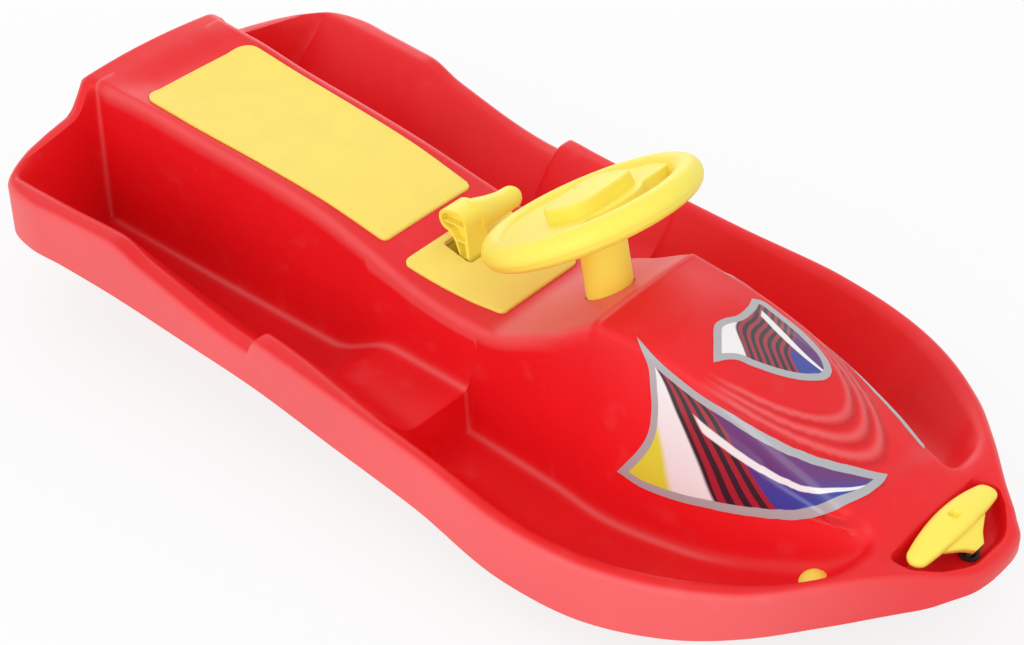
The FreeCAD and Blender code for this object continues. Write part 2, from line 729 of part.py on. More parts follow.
def make_brake_lever():
    pivot = V(brake_x, 0, brake_z)
    hub = rod(pivot - ACROSS * (lever_hub_width / 2), ACROSS, lever_hub_radius, lever_hub_width)
    axis = lean_axis(lever_back)
    side = axis.cross(ACROSS)

    def section(distance, width, middle_y):
        place = pivot + axis * distance
        corners = [(1, 1), (1, -1), (-1, -1), (-1, 1)]
        return [place + side * (stem_thick / 2 * a) + ACROSS * (middle_y + width / 2 * b) for a, b in corners]

    stem = ruled([
        section(0.0, stem_foot_width, 0.0),
        section(lever_reach * stem_bend_share, stem_bend_width, stem_side / 2),
        section(lever_reach, stem_top_width, stem_side),
    ])
    grip_foot = pivot + axis * lever_reach + ACROSS * (stem_side - stem_top_width / 2)
    grip_length = grip_end_y - grip_foot.y - grip_radius
    grip = rod(grip_foot, ACROSS, grip_radius, grip_length)
    tip = Part.makeSphere(grip_radius, grip_foot + ACROSS * grip_length)
    web_y = stem_side + stem_top_width / 2
    root = pivot + ACROSS * (web_y - gusset_sunk)
    gusset = [
        root + axis * (lever_reach - gusset_drop),
        root + axis * lever_reach,
        root + axis * lever_reach + ACROSS * gusset_run,
    ]
    web = prism([p - side * (gusset_thick / 2) for p in gusset], side * gusset_thick)
    tail = V(brake_x - arm_length, 0, arm_z)
    down = tail - pivot
    thick = down.cross(ACROSS).normalize() * (arm_thick / 2)
    flank = ACROSS * (-arm_width / 2)
    arm = prism([pivot + thick + flank, tail + thick + flank, tail - thick + flank, pivot - thick + flank],
                ACROSS * arm_width)
    lever = united([hub, stem, grip, tip, web, arm])
    axle_hole = rod(pivot - ACROSS * REACH, ACROSS, axle_radius + run_clear, 2 * REACH)
    return lever.cut([axle_hole] + screw_holes())


def claw_normal():
    """Unit vector out of the arm's lower face."""
    down = V(-arm_length, 0, arm_z - brake_z)
    return down.cross(ACROSS).normalize()


def screw_places():
    tail = V(brake_x - arm_length, 0, arm_z)
    back = V(arm_length, 0, brake_z - arm_z).normalize()
    face = tail + claw_normal() * (arm_thick / 2)
    return [face + back * screw_setback + ACROSS * y for y in (-arm_width / 4, arm_width / 4)]


def screw_holes():
    normal = claw_normal()
    start = normal * -screw_pass
    return [rod(p + start, normal, screw_radius + fit_clear, 2 * screw_pass) for p in screw_places()]


def make_brake_claw():
    normal = claw_normal()
    back = V(arm_length, 0, brake_z - arm_z).normalize()
    edge = V(brake_x - arm_length, 0, arm_z) + normal * (arm_thick / 2)
    plate = prism([edge - ACROSS * (claw_width / 2), edge + ACROSS * (claw_width / 2),
                   edge + ACROSS * (claw_width / 2) + back * claw_length,
                   edge - ACROSS * (claw_width / 2) + back * claw_length], normal * claw_thick)
    step = claw_width / claw_teeth
    teeth = []
    for k in range(claw_teeth):
        left = edge + ACROSS * (k * step - claw_width / 2)
        tooth = [left, left + ACROSS * step, left + ACROSS * (step / 2) + normal * tooth_drop]
        teeth.append(prism(tooth, back * claw_thick))
    claw = united([plate] + teeth)
    return claw.cut(screw_holes())


def make_claw_screws():
    normal = claw_normal()
    screws = []
    for p in screw_places():
        head = rod(p + normal * claw_thick, normal, screw_head_radius, screw_head_height)
        sunk = arm_thick - screw_roof
        shank = rod(p - normal * sunk, normal, screw_radius, sunk + claw_thick)
        screws.append(united([head, shank]))
    return Part.Compound(screws)


def axle_end():
    return cheek_gap / 2 + cheek_thick + axle_stub


def make_brake_axle():
    return rod(V(brake_x, -axle_end(), brake_z), ACROSS, axle_radius, 2 * axle_end())


def make_axle_clips():
    start = V(brake_x, cheek_gap / 2 + cheek_thick, brake_z)
    return Part.Compound(both_sides(ring(start, ACROSS, clip_radius, axle_radius + fit_clear, clip_thick)))


def make_brake_spring():
    """Torsion spring on the axle beside the lever's hub, with one leg up and one leg back."""
    start_y = lever_hub_width / 2 + spring_wire + 2 * part_gap
    radius = axle_radius + spring_clear + spring_wire
    points = []
    quarters = spring_turns * 4
    samples = 8              # points on each quarter turn

    def coil_point(quarter):
        turn = math.radians(90.0 * quarter)
        return V(brake_x + radius * math.cos(turn), start_y + spring_pitch * quarter / 4,
                 brake_z + radius * math.sin(turn))

    edges = []
    for k in range(quarters):
        edges.append(Part.Arc(coil_point(k), coil_point(k + 0.5), coil_point(k + 1)).toShape())
        points += [coil_point(k + step / samples) for step in range(samples)]
    first, last = coil_point(0), coil_point(quarters)
    start = edges[0].tangentAt(edges[0].FirstParameter)
    finish = edges[-1].tangentAt(edges[-1].LastParameter)
    edges = [Part.LineSegment(first - start * spring_leg, first).toShape()] + edges
    edges += [Part.LineSegment(last, last + finish * spring_leg).toShape()]
    path = Part.Wire(edges)
    section = Part.Wire([Part.makeCircle(spring_wire, first - start * spring_leg, start)])
    coil = path.makePipeShell([section], True, False)
    half_turn = 2 * samples
    apart = min((p - q).Length for i, p in enumerate(points) for q in points[i + half_turn:])
    print("brake spring: least gap between turns", round(apart - 2 * spring_wire, 2), "mm")
    return coil


def bar_section(share, y, z):
    """Oval section of the tow handle: share of the full section, with its middle at y and z."""
    wide, thick = handle_width / 2 * share, handle_thick / 2 * share
    turns = [2 * math.pi * k / handle_facets for k in range(handle_facets)]
    return [V(handle_x + wide * math.cos(t), y, z + thick * math.sin(t)) for t in turns]


def make_tow_handle():
    places = [-1.0, -0.8, -0.4, 0.0, 0.4, 0.8, 1.0]
    sections = []
    for place in places:
        fall = place * place
        share = 1.0 - (1.0 - handle_end_share) * fall
        z = handle_mid_z - (handle_mid_z - handle_end_z) * fall
        sections.append(bar_section(share, place * handle_half, z))
    bar = ruled(sections)
    tip = eyelet_point + pull_axis * cord_shown
    middle = V(handle_x, 0, handle_mid_z)
    stem = [middle - ACROSS * (handle_half / 2), middle + ACROSS * (handle_half / 2),
            tip + ACROSS * handle_tip_half, tip - ACROSS * handle_tip_half]
    normal = (tip - middle).cross(ACROSS).normalize() * handle_web_half
    web = prism([p - normal for p in stem], normal * 2)
    handle = united([bar, web])
    eye = rod(middle, UP, handle_eye_radius, handle_thick)
    cord_hole = rod(eyelet_point, pull_axis, cord_radius + fit_clear, cord_shown + cord_sunk)
    return handle.cut([eye, cord_hole])


def make_tow_cord():
    length = cord_hidden + cord_shown + cord_sunk
    return rod(eyelet_point - pull_axis * cord_hidden, pull_axis, cord_radius, length)


def make_cord_eyelet():
    flange = rod(eyelet_point, UP, eyelet_radius, eyelet_flange)
    sleeve = rod(eyelet_point - UP * wall, UP, eyelet_radius - eyelet_lip, wall)
    return united([flange, sleeve]).cut(rod(eyelet_point - UP * REACH, UP, eyelet_bore, 2 * REACH))


def make_reel_case():
    start = spool_point - ACROSS * reel_half
    drum = rod(start, ACROSS, reel_radius, 2 * reel_half - cover_thick)
    hollow = rod(start + ACROSS * reel_wall, ACROSS, reel_radius - reel_wall, 2 * reel_half)
    pin = rod(spool_point - ACROSS * REACH, ACROSS, reel_pin_radius + fit_clear, 2 * REACH)
    way = rod(eyelet_point - pull_axis * cord_hidden, pull_axis, cord_radius * 2, cord_hidden)
    return drum.cut([hollow, pin, way])


def make_reel_cover():
    start = spool_point + ACROSS * (reel_half - cover_thick)
    return ring(start, ACROSS, reel_radius, reel_pin_radius + fit_clear, cover_thick)


def make_reel_spool():
    """Spool with its winding in the middle of the case and a collar towards the case's wall."""
    side = winding_width / 2 + spool_flange
    collar_y = reel_wall + part_gap - reel_half
    core = rod(spool_point + ACROSS * collar_y, ACROSS, spool_core, side - collar_y)
    inside = spool_point + ACROSS * (winding_width / 2)
    flanges = both_sides(rod(inside, ACROSS, spool_flange_radius, spool_flange))
    bore = rod(spool_point - ACROSS * REACH, ACROSS, reel_pin_radius + run_clear, 2 * REACH)
    return united([core] + flanges).cut(bore)


def make_cord_winding():
    """Turns that lie under the outermost one, which is the straight cord itself."""
    start = spool_point - ACROSS * (winding_width / 2)
    return ring(start, ACROSS, wound_radius - cord_radius - part_gap, spool_core, winding_width)


def make_reel_spring():
    start = spool_point + ACROSS * (winding_width / 2 + spool_flange + part_gap)
    room = reel_half - cover_thick - winding_width / 2 - spool_flange - 2 * part_gap
    return ring(start, ACROSS, spring_band_outer, reel_pin_radius + fit_clear, room)


def make_reel_axle():
    """Pin through both cheeks of the keel, with a head at each end."""
    out = reel_half + fit_clear + keel_wall
    pin = rod(spool_point - ACROSS * out, ACROSS, reel_pin_radius, 2 * out)
    head = rod(spool_point + ACROSS * out, ACROSS, reel_pin_radius * 2, reel_pin_radius)
    far_head = rod(spool_point - ACROSS * out, ACROSS * -1.0, reel_pin_radius * 2, reel_pin_radius)
    return united([pin, head, far_head])


def make_gutter_plugs():
    base = V(plug_x, plug_y, plug_seat_z)
    bulge = (plug_head_radius ** 2 + plug_head_height ** 2) / (2 * plug_head_height)
    ball = Part.makeSphere(bulge, base + UP * (plug_head_height - bulge))
    head = ball.common(rod(base, UP, plug_head_radius, plug_head_height * 2))
    foot = base - UP * plug_seat_depth
    shank = rod(foot, UP, plug_shank_radius, plug_seat_depth)
    wide, narrow = plug_shank_radius + plug_barb, plug_shank_radius - plug_barb
    barb = Part.makeCone(wide, narrow, 4 * plug_barb, foot, UP * -1.0)
    return Part.Compound(both_sides(united([head, shank, barb])))


nodes = {
    "hull": make_hull,
    "seat_pad": make_seat_pad,
    "front_pad": make_front_pad,
    "upper_bush": make_upper_bush,
    "lower_bush": make_lower_bush,
    "steering_column": make_steering_column,
    "steering_wheel": make_steering_wheel,
    "wheel_bolt": make_wheel_bolt,
    "hub_cover": make_hub_cover,
    "front_ski": make_front_ski,
    "ski_washer": make_ski_washer,
    "ski_bolt": make_ski_bolt,
    "brake_lever": make_brake_lever,
    "brake_axle": make_brake_axle,
    "axle_clips": make_axle_clips,
    "brake_claw": make_brake_claw,
    "claw_screws": make_claw_screws,
    "brake_spring": make_brake_spring,
    "tow_handle": make_tow_handle,
    "tow_cord": make_tow_cord,
    "cord_eyelet": make_cord_eyelet,
    "reel_case": make_reel_case,
    "reel_cover": make_reel_cover,
    "reel_spool": make_reel_spool,
    "cord_winding": make_cord_winding,
    "reel_spring": make_reel_spring,
    "reel_axle": make_reel_axle,
    "gutter_plugs": make_gutter_plugs,
}

os.makedirs("parts", exist_ok=True)
for name, make in nodes.items():
    shape = make()
    print(name, "valid" if shape.isValid() else "NOT VALID", len(shape.Solids), "solids,",
          round(shape.Volume / 1000.0, 1), "cm3")
    shape.exportStep("parts/" + name + ".step")
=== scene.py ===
import math

import bmesh
import bpy
import numpy as np
from bpy.props import FloatProperty, FloatVectorProperty, PointerProperty
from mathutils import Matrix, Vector


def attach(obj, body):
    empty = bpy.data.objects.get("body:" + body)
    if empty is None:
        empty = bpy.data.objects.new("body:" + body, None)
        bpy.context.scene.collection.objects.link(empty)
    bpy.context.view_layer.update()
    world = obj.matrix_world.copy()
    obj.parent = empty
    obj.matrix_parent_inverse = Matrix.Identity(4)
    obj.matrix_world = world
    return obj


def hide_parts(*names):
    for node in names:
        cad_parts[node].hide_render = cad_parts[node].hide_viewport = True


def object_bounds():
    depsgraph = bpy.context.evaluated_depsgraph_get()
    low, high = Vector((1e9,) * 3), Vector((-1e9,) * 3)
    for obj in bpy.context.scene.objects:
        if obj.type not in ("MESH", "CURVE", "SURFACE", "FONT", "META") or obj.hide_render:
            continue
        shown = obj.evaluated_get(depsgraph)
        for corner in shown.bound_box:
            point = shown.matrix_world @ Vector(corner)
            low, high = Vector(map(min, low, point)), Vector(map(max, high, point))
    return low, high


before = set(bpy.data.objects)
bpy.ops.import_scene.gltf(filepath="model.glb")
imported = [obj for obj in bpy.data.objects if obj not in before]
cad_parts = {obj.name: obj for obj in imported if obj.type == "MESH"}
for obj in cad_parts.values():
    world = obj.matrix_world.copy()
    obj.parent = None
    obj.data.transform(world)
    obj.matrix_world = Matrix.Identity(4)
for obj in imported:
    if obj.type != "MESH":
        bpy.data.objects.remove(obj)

bl_info = {
    "name": "Steering sled",
    "version": (1, 0, 0),
    "blender": (4, 5, 0),
    "location": "View3D > Sidebar > Sled",
    "description": "Dresses the packed steering sled with its hull, pads, wheel, brake, tow handle and finishes",
    "category": "Object",
}

CAD_BOX = [[float(v) for v in corner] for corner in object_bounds()]
MM = 0.001
SHARP_ANGLE = 38.0

# Hull, in millimetres. Pairs are (x, value); x points to the nose, y to the left, z up
OUTLINE = [
    (-523.5, 0.0), (-521.0, 70.0), (-512.0, 150.0), (-499.5, 194.0), (-477.5, 226.0), (-441.5, 237.0),
    (-393.5, 235.0), (-324.0, 231.0), (-124.0, 230.0), (76.0, 237.5), (196.0, 246.0), (266.0, 237.0),
    (336.0, 211.0), (396.0, 170.0), (436.0, 127.0), (476.0, 81.0), (506.0, 50.0), (517.5, 36.0), (522.5, 18.0),
    (523.5, 0.0),
]
REAR_CORNER = 5
RIM_LEAST, RIM_SHARE, RIM_CLEAR = 4.0, 0.94, 2.0
RIM_WIDTH = [
    (-324.0, 22.0), (-124.0, 23.0), (36.0, 14.0), (236.0, 16.0), (396.0, 20.0), (456.0, 13.0), (506.0, 8.0),
]
RIM_TOP = [
    (-523.5, 147.0), (-329.0, 145.0), (-286.0, 131.0), (-142.0, 104.5), (-131.0, 122.0), (-104.0, 119.6),
    (76.0, 105.0), (176.0, 97.0), (276.0, 93.0), (376.0, 93.0), (456.0, 101.5), (523.5, 96.0),
]
SKIRT_FOOT = [
    (-523.5, 89.0), (-444.0, 89.0), (-224.0, 74.0), (-144.0, 70.0), (-24.0, 57.0), (76.0, 49.0),
    (176.0, 37.0), (256.0, 33.0), (336.0, 38.0), (416.0, 51.0), (456.0, 57.0), (490.0, 64.0), (506.0, 72.0),
    (523.5, 81.0),
]
RIDGE = [
    (-523.5, 190.0), (-494.0, 187.0), (-458.0, 178.0), (-284.0, 169.0), (-204.0, 163.0), (-124.0, 151.0),
    (-44.0, 134.0), (-4.0, 130.0), (21.0, 130.0), (39.0, 133.0), (60.0, 143.0), (102.0, 169.0), (139.0, 190.0),
    (144.0, 192.0), (150.0, 192.6), (201.0, 195.0), (274.0, 183.0), (346.0, 160.0), (376.0, 145.0),
    (416.0, 124.0), (446.0, 106.0), (466.0, 100.0), (523.5, 96.0),
]
SHOULDER = [
    (-523.5, 188.0), (-444.0, 187.0), (-364.0, 179.5), (-284.0, 174.0), (-204.0, 166.0), (-124.0, 150.0),
    (-44.0, 132.5), (-4.0, 129.0), (21.0, 129.0), (39.0, 132.0), (78.0, 150.0), (98.0, 160.0), (139.0, 187.5),
    (144.0, 190.0), (150.0, 189.8), (201.0, 187.0), (274.0, 173.0), (310.0, 162.0), (346.0, 147.5),
    (376.0, 135.5), (416.0, 116.0), (446.0, 104.0), (466.0, 99.0), (523.5, 96.0),
]
SHOULDER_HALF = [
    (-523.5, 90.0), (-364.0, 83.0), (-204.0, 80.0), (-44.0, 86.0), (98.0, 80.0), (144.0, 72.0), (274.0, 66.0),
    (326.0, 66.0), (376.0, 62.0), (416.0, 56.0), (446.0, 52.0),
]
WELL_REAR, WELL_SLANT, WELL_FRONT = -501.0, 0.2, 440.0
WELL_REAR_RUN, WELL_FRONT_RUN, REAR_BAND = (-6.0, 2.0), (-14.0, 6.0), 40.0
SLANT_FROM, SLANT_IN, SLANT_OUT, SLANT_TURNS = 83.0, (-520.0, -500.0), (-470.0, -380.0), 30
STEP_X, STEP_RUN = 13.0, 4.0
REAR_FLOOR = [(-496.0, 24.0), (-164.0, 27.0), (-76.0, 62.0), (13.0, 62.0)]
FRONT_FLOOR = [
    (16.0, 14.0), (126.0, 14.0), (191.0, 15.0), (276.0, 24.0), (326.0, 35.0), (376.0, 51.0), (401.0, 60.0),
    (416.0, 72.0), (434.0, 93.0),
]
WELL_INNER = [
    (-496.0, 90.0), (-24.0, 93.0), (126.0, 100.0), (191.0, 107.0), (276.0, 102.0), (326.0, 95.0), (376.0, 84.0),
    (416.0, 72.0), (434.0, 66.0),
]
REAR_OUTER = [(-496.0, 108.0), (-324.0, 122.0), (-164.0, 140.0), (-76.0, 165.0), (13.0, 178.0)]
FRONT_OUTER = [
    (16.0, 152.0), (126.0, 168.0), (191.0, 176.0), (276.0, 165.0), (326.0, 148.0), (376.0, 122.0), (416.0, 98.0),
    (434.0, 80.0),
]
CROWN_SHARE, CROWN_MIX = 0.55, 0.2
EDGE_ROUND = 7.0
CORNER_ROUND = (0.0, 0.0, 7.0, 16.0, 14.0, 9.0, 22.0, 0.0)
RUN_POINTS = (6, 9, 9, 5, 12, 9, 12)
RIM_RUN, RIM_GATHER = 1, 1.8
BEND_POINTS = 6
RECESS_REAR, RECESS_FRONT, RECESS_DRAFT, RECESS_FLOOR = 452.0, 513.0, 8.0, 79.0
RECESS_RUN_OUT, RECESS_BEFORE, RECESS_AFTER = 15.0, 8.0, 4.0
RECESS_PLAN = [(452.0, 68.0), (474.0, 68.0), (486.0, 60.0), (500.0, 41.0), (513.0, 20.0)]
LEDGE_ROOT, LEDGE_POWER, LEDGE_DROP, LEDGE_RUN = 250.0, 1.9, 2.4, 2.2
LEDGES = [(110.0, 55.0), (127.0, 60.5), (144.0, 65.0)]
LEDGE_FADE = ((-6.0, 45.0), (400.0, 425.0))
RELIEF_SIDE, RELIEF_REAR, RELIEF_FRONT = 6.0, 60.0, 6.0
LIP_X, LIP_HALF, LIP_RISE, LIP_END = 143.0, 3.2, 1.5, (62.0, 72.0)
DECK_STEP_RUN, DECK_STEP_FOOT, DECK_STEP_END = 21.0, 9.0, (-470.0, -440.0)
NORMAL_SMOOTHING, POINT_BLOCK = 6, 4000

# Painted pale sheen and highlights on the hull (reflections on the skirt and dashboard, highlights on the bonnet
# lip, saddle edges and well creases): shares, and the stretches of x over which they come and go
SKIRT_SHEEN, DASH_SHEEN, EDGE_HIGHLIGHT, CREASE_HIGHLIGHT = 0.42, 0.62, 0.45, 0.36
NOSE_CLEAR, NOSE_CLEAR_X = 0.6, (380.0, 500.0)
DASH_START, DASH_STOP, DASH_SIDE, DASH_DEEP = (24.0, 40.0), (-8.0, -2.0), (-8.0, 4.0), 16.0
SADDLE_SHARE, SADDLE_WIDTH, SADDLE_START, SADDLE_STOP = 0.6, (2.0, 8.0), (-500.0, -480.0), (60.0, 140.0)
LIP_WIDTH = (1.0, 4.5)
CREASE_COLUMN = sum(RUN_POINTS[:4]) + 2 * BEND_POINTS
CREASE_WIDTH, CREASE_START, CREASE_STOP = (0.5, 4.0), (4.0, 20.0), (270.0, 340.0)
CORNER_WIDTH, CORNER_SHIFT, CORNER_SIDE, CORNER_LOW, CORNER_IN = (0.6, 2.6), 2.0, (1.0, 6.0), 2.0, 60.0

# Underside
RUNNER_SOLE = [
    (-484.0, 17.0), (-424.0, 10.0), (-324.0, 4.0), (-224.0, 0.0), (146.0, 0.0), (226.0, 4.0), (306.0, 20.0),
]
RUNNER_SIDES, RUNNER_EDGE, RUNNER_LEAST, RUNNER_SUNK = (90.0, 99.0), 1.0, 3.0, 2.0
CHEEK = [(-67.0, 68.0), (-21.0, 68.0), (-21.0, 128.0), (-67.0, 135.0)]
CHEEK_SIDES = (39.0, 45.0)
KEEL = np.array([(429.7, 42.3), (483.4, 42.3), (505.0, 77.0), (453.0, 77.0), (449.0, 100.0), (429.7, 111.5)])
KEEL_SIDES, KEEL_LAP = (15.1, 18.0), 0.5
KEEL_FRONT, KEEL_REAR = np.array([3.5, 0.0]), np.array([3.0, 0.0])
KEEL_REAR_TOP = np.array([3.0, -2.0])
SHELF_HALF, SHELF_SIDE, SHELF_FOOT, SHELF_THICK = 48.0, 91.0, 50.0, 7.0
LOWER_BEARING = [(14.2, -18), (19.0, -18), (19.0, 3.5), (14.2, 3.5)]
UPPER_BEARING = [(25.7, -39), (30.5, -39), (30.5, -16), (25.7, -16)]
PLUG_SEAT = [(0, -14), (17, -14), (17, -2), (0, -2)]

# Pads
SEAT_PLAN = (-446.0, -121.0, 72.0, 62.0)
FRONT_PLAN = (-92.0, 21.0, 68.0, 55.0)
SEAT_CORNERS, SEAT_BOW, FRONT_CORNERS = (16.0, 6.0), 6.0, (7.0, 7.0)
PAD_EDGE, PAD_SUNK, PAD_FILL = 2.0, 2.4, 0.9
BED_GAP, BED_DEPTH, BED_CLEAR = 0.6, 2.5, 60.0
BOW_RUN = 60.0
SLOT_BOX = (-82.5, -47.0, -23.0, 10.5)
SLOT_CORNERS, SLOT_CUT = (4.0, 4.0), (100.0, 80.0)
LINER_FOOT, LINER_WALL, LINER_LOW = 110.0, 1.2, 1.5

# Steering
COLUMN_FOOT = np.array([102.0, 0.0, 169.0])
COLUMN_LEAN, COLUMN_RADIUS = 12.0, 22.5
WHEEL_RISE, WHEEL_TILT = 79.2, 31.4
RING_RADIUS, RING_BACK = 92.8, 8.2
SEAM_DEPTH, SEAM_TURN, SEAM_WIDTH = 0.035, 5.85, 0.09
WEB_HALF, WEB_LIFT, WEB_OPEN, WEB_TURN, WEB_EDGE, HUB_RADIUS = 7.0, 1.5, 58.0, 17.0, 2.5, 52.0
BLOCK_HALF, BLOCK_BACK, BLOCK_POWER, BLOCK_FOOT, BLOCK_WALL = (30.0, 42.0), 4.0, 3.4, -4.0, 18.0
BLOCK_EDGE, BLOCK_DRAW, BLOCK_CROWN = 3.5, 0.07, 0.8
COLUMN_PROFILE = [(0, -37), (21, -37), (22.5, -35.5), (22.5, 0), (22.2, 60), (22.0, 70), (0, 70)]
SPIGOT_PROFILE = [(0, -144), (10, -144), (11, -143), (11, -106.4), (15, -105.4), (15, -36), (0, -36)]
COLUMN_GAP, COLUMN_CUT = 1.0, 60.0

# Brake
PIVOT = np.array([-44.0, 0.0, 80.0])
LEVER_LEAN, LEVER_REACH = 13.7, 88.5
STEM_SIDE = [
    (5.0, 0.0), (6.0, 40.0), (7.5, 62.0), (11.0, 84.0), (13.0, 100.0), (5.0, 109.0), (-13.0, 110.0),
    (-22.0, 105.0), (-22.0, 91.0), (-9.0, 85.0), (-4.8, 66.0), (-5.0, 40.0), (-5.0, 0.0),
]
STEM_POCKET = [
    (2.5, 44.0), (3.2, 50.0), (4.6, 64.0), (8.0, 85.0), (9.6, 98.0), (3.6, 105.4), (-12.0, 106.4),
    (-18.6, 102.6), (-18.6, 93.0), (-6.8, 88.0), (-2.6, 67.0), (-2.6, 50.0), (-2.5, 44.0),
]
STEM_RIBS = [(-16.0, 97.0, 10.0, 92.0), (-6.0, 78.0, 8.0, 76.0), (-4.0, 60.0, 5.0, 59.0)]
STEM_LEFT, STEM_RIGHT, POCKET_DEPTH, RIB_HALF, RIB_SUNK = 7.0, -20.0, 7.0, 0.9, 0.6
SHIELD_RADIUS, SHIELD_THICK, SHIELD_TURN, SHIELD_SIDES = 48.0, 2.0, (-10.0, 40.0), (9.5, -22.0)
GRIP_SWELL = [(2.0, 1.48), (14.0, 1.34), (30.0, 1.15), (46.0, 1.03), (66.0, 1.0)]
GRIP_RUN, GRIP_END, GRIP_POWER = (2.0, 54.0), 55.0, 2.2
GUSSET = [(4.0, -19.0), (4.0, 0.0), (30.0, 0.0), (26.0, -6.0), (12.0, -12.0)]
GUSSET_HALF = 3.0
LEVER_HUB = [(4.1, -20), (12, -20), (12, 20), (4.1, 20)]
ARM_END, ARM_START, ARM_WIDTH, ARM_HEIGHT, ARM_POWER = np.array([-136.0, 0.0, 38.0]), 6.0, 15.0, 5.0, 8.0

# Tow handle
HANDLE_X, HANDLE_HALF, HANDLE_END_Z, HANDLE_MID_Z = 472.0, 62.0, 100.0, 106.0
HANDLE_WIDTH, HANDLE_HEIGHT, HANDLE_TAPER, HANDLE_END, HANDLE_POWER = 15.0, 8.5, 0.45, 8.0, 2.4
DIMPLE_DEPTH, DIMPLE_RIM, DIMPLE_TOP = 5.0, (3.6, 5.2), 2.0
HANDLE_WEB = ([0, 0.45, 0.75, 1], [44, 31, 15, 6.5])
HANDLE_WEB_HEIGHT, HANDLE_WEB_POWER = ([0, 1], [5.0, 4.2]), 4.0
EYELET = np.array([491.0, 0.0, 79.0])
PULL_RISE = math.radians(58.0)
PULL = np.array([math.cos(PULL_RISE), 0.0, math.sin(PULL_RISE)])
CORD_HIDDEN, CORD_SHOWN, CORD_SUNK, CORD_RADIUS = 42.0, 14.0, 2.5, 2.0
CORD_ROUTE, CORD_HOLE, CORD_CUT = (0.0, 0.35, 0.7, 1.0), 7.05, 20.0
SPOOL_WOUND = 13.0
SPOOL = EYELET - PULL * CORD_HIDDEN + SPOOL_WOUND * np.array([-PULL[2], 0.0, PULL[0]])
SPOOL_CORE, TURN_CORE, TURN_BULGE, TURN_PITCH, SPOOL_HALF, TURNS = 8.05, 8.6, 1.7, 2.0, 5.0, 5

# Gutter plugs
PLUG = (401.0, 92.0, 58.0)
PLUG_RADIUS, PLUG_HEIGHT = 14.0, 10.0
PLUG_SHANK = [(13.6, -0.8), (5.0, -0.8), (5.0, -14.0), (6.4, -15.0), (3.5, -20.0), (0.0, -20.0)]

# Films on the bonnet: outlines as (x, arc length from the middle line)
SIDE_FILM = {
    "rear": [(191.5, -193.9), (208.2, -161.4), (214.6, -139.2), (213.1, -116.9), (208.2, -99.3), (200.2, -78.5),
             (181.4, -62.7)],
    "upper": [(181.4, -62.7), (212.9, -71.5), (246.8, -74.5), (281.3, -72.7), (313.9, -67.4), (341.0, -58.8),
              (364.1, -45.7), (385.5, -28.0), (409.0, -6.0)],
    "lower": [(191.5, -193.9), (220.7, -193.0), (260.3, -178.9), (299.9, -158.8), (336.6, -133.3), (368.6, -103.8),
              (392.8, -70.7), (407.0, -41.0), (411.0, -20.0), (409.0, -6.0)],
}
FAR_FILM = {
    "rear": [(191.5, 193.9), (208.2, 161.4), (214.6, 139.2), (213.1, 116.9), (208.2, 99.3), (200.2, 78.5),
             (181.4, 62.7)],
    "upper": [(181.4, 62.7), (212.9, 71.5), (246.8, 74.5), (281.3, 73.0), (314.0, 69.0), (341.0, 63.5),
              (365.0, 58.5), (388.0, 54.0), (410.0, 50.5)],
    "lower": [(191.5, 193.9), (220.7, 193.0), (260.3, 178.9), (299.9, 158.8), (336.6, 135.0), (368.6, 109.0),
              (393.0, 80.0), (410.0, 50.5)],
}
SHIELD_FILM = {
    "rear": [(249.3, -43.1), (237.5, -27.5), (225.0, -9.9), (225.0, 2.5), (230.5, 17.1), (228.8, 34.6),
             (223.1, 48.6)],
    "upper": [(223.1, 48.6), (233.0, 55.5), (260.8, 52.9), (287.7, 46.1), (308.9, 39.4), (321.8, 30.4),
              (326.0, 22.4)],
    "lower": [(249.3, -43.1), (256.0, -33.8), (264.0, -27.0), (277.6, -24.1), (296.5, -16.4), (314.0, -2.9),
              (324.7, 12.7), (326.0, 22.4)],
}
FILM_BORDER_UNIT, FILM_SPAN, FILM_ARC = 100.0, (100.0, 470.0), 230

# Stage
TARGET = Vector((-0.0154, 0.0, 0.07165))
SENSOR = 36.0
SHEEN_PLACE, SHEEN_SIZE = (-1.5, 1.6, 0.7), 1.2
KEY_PLACE, KEY_SIZE = (0.45, -2.2, 1.05), 1.8
FLOOR_HALF, FLOOR_GREY, FLOOR_GLOW = 9, 0.86, 0.82


class SledSizes(bpy.types.PropertyGroup):
    """Sizes that a user would change."""
    wall: FloatProperty(name="Wall", description="Thickness of the hull's wall", default=0.004, min=0.002,
                        unit="LENGTH")
    pad_proud: FloatProperty(name="Pad height", description="Height of the pads above the saddle",
                             default=0.0025, unit="LENGTH")
    pad_crown: FloatProperty(name="Pad crown", description="Extra height in the middle of a pad",
                             default=0.0018, unit="LENGTH")
    ring_tube: FloatProperty(name="Rim of the wheel", description="Radius of the wheel's rim section",
                             default=0.0135, unit="LENGTH")
    grip: FloatProperty(name="Brake grip", description="Radius of the brake's hand grip", default=0.011,
                        unit="LENGTH")
    film: FloatProperty(name="Film", description="Height of the printed films above the bonnet", default=0.0006,
                        unit="LENGTH")


def colour(name, description, value):
    """Colour property of a finish, in linear red, green and blue."""
    return FloatVectorProperty(name=name, description=description, default=value, size=3, subtype="COLOR",
                               min=0, max=1)


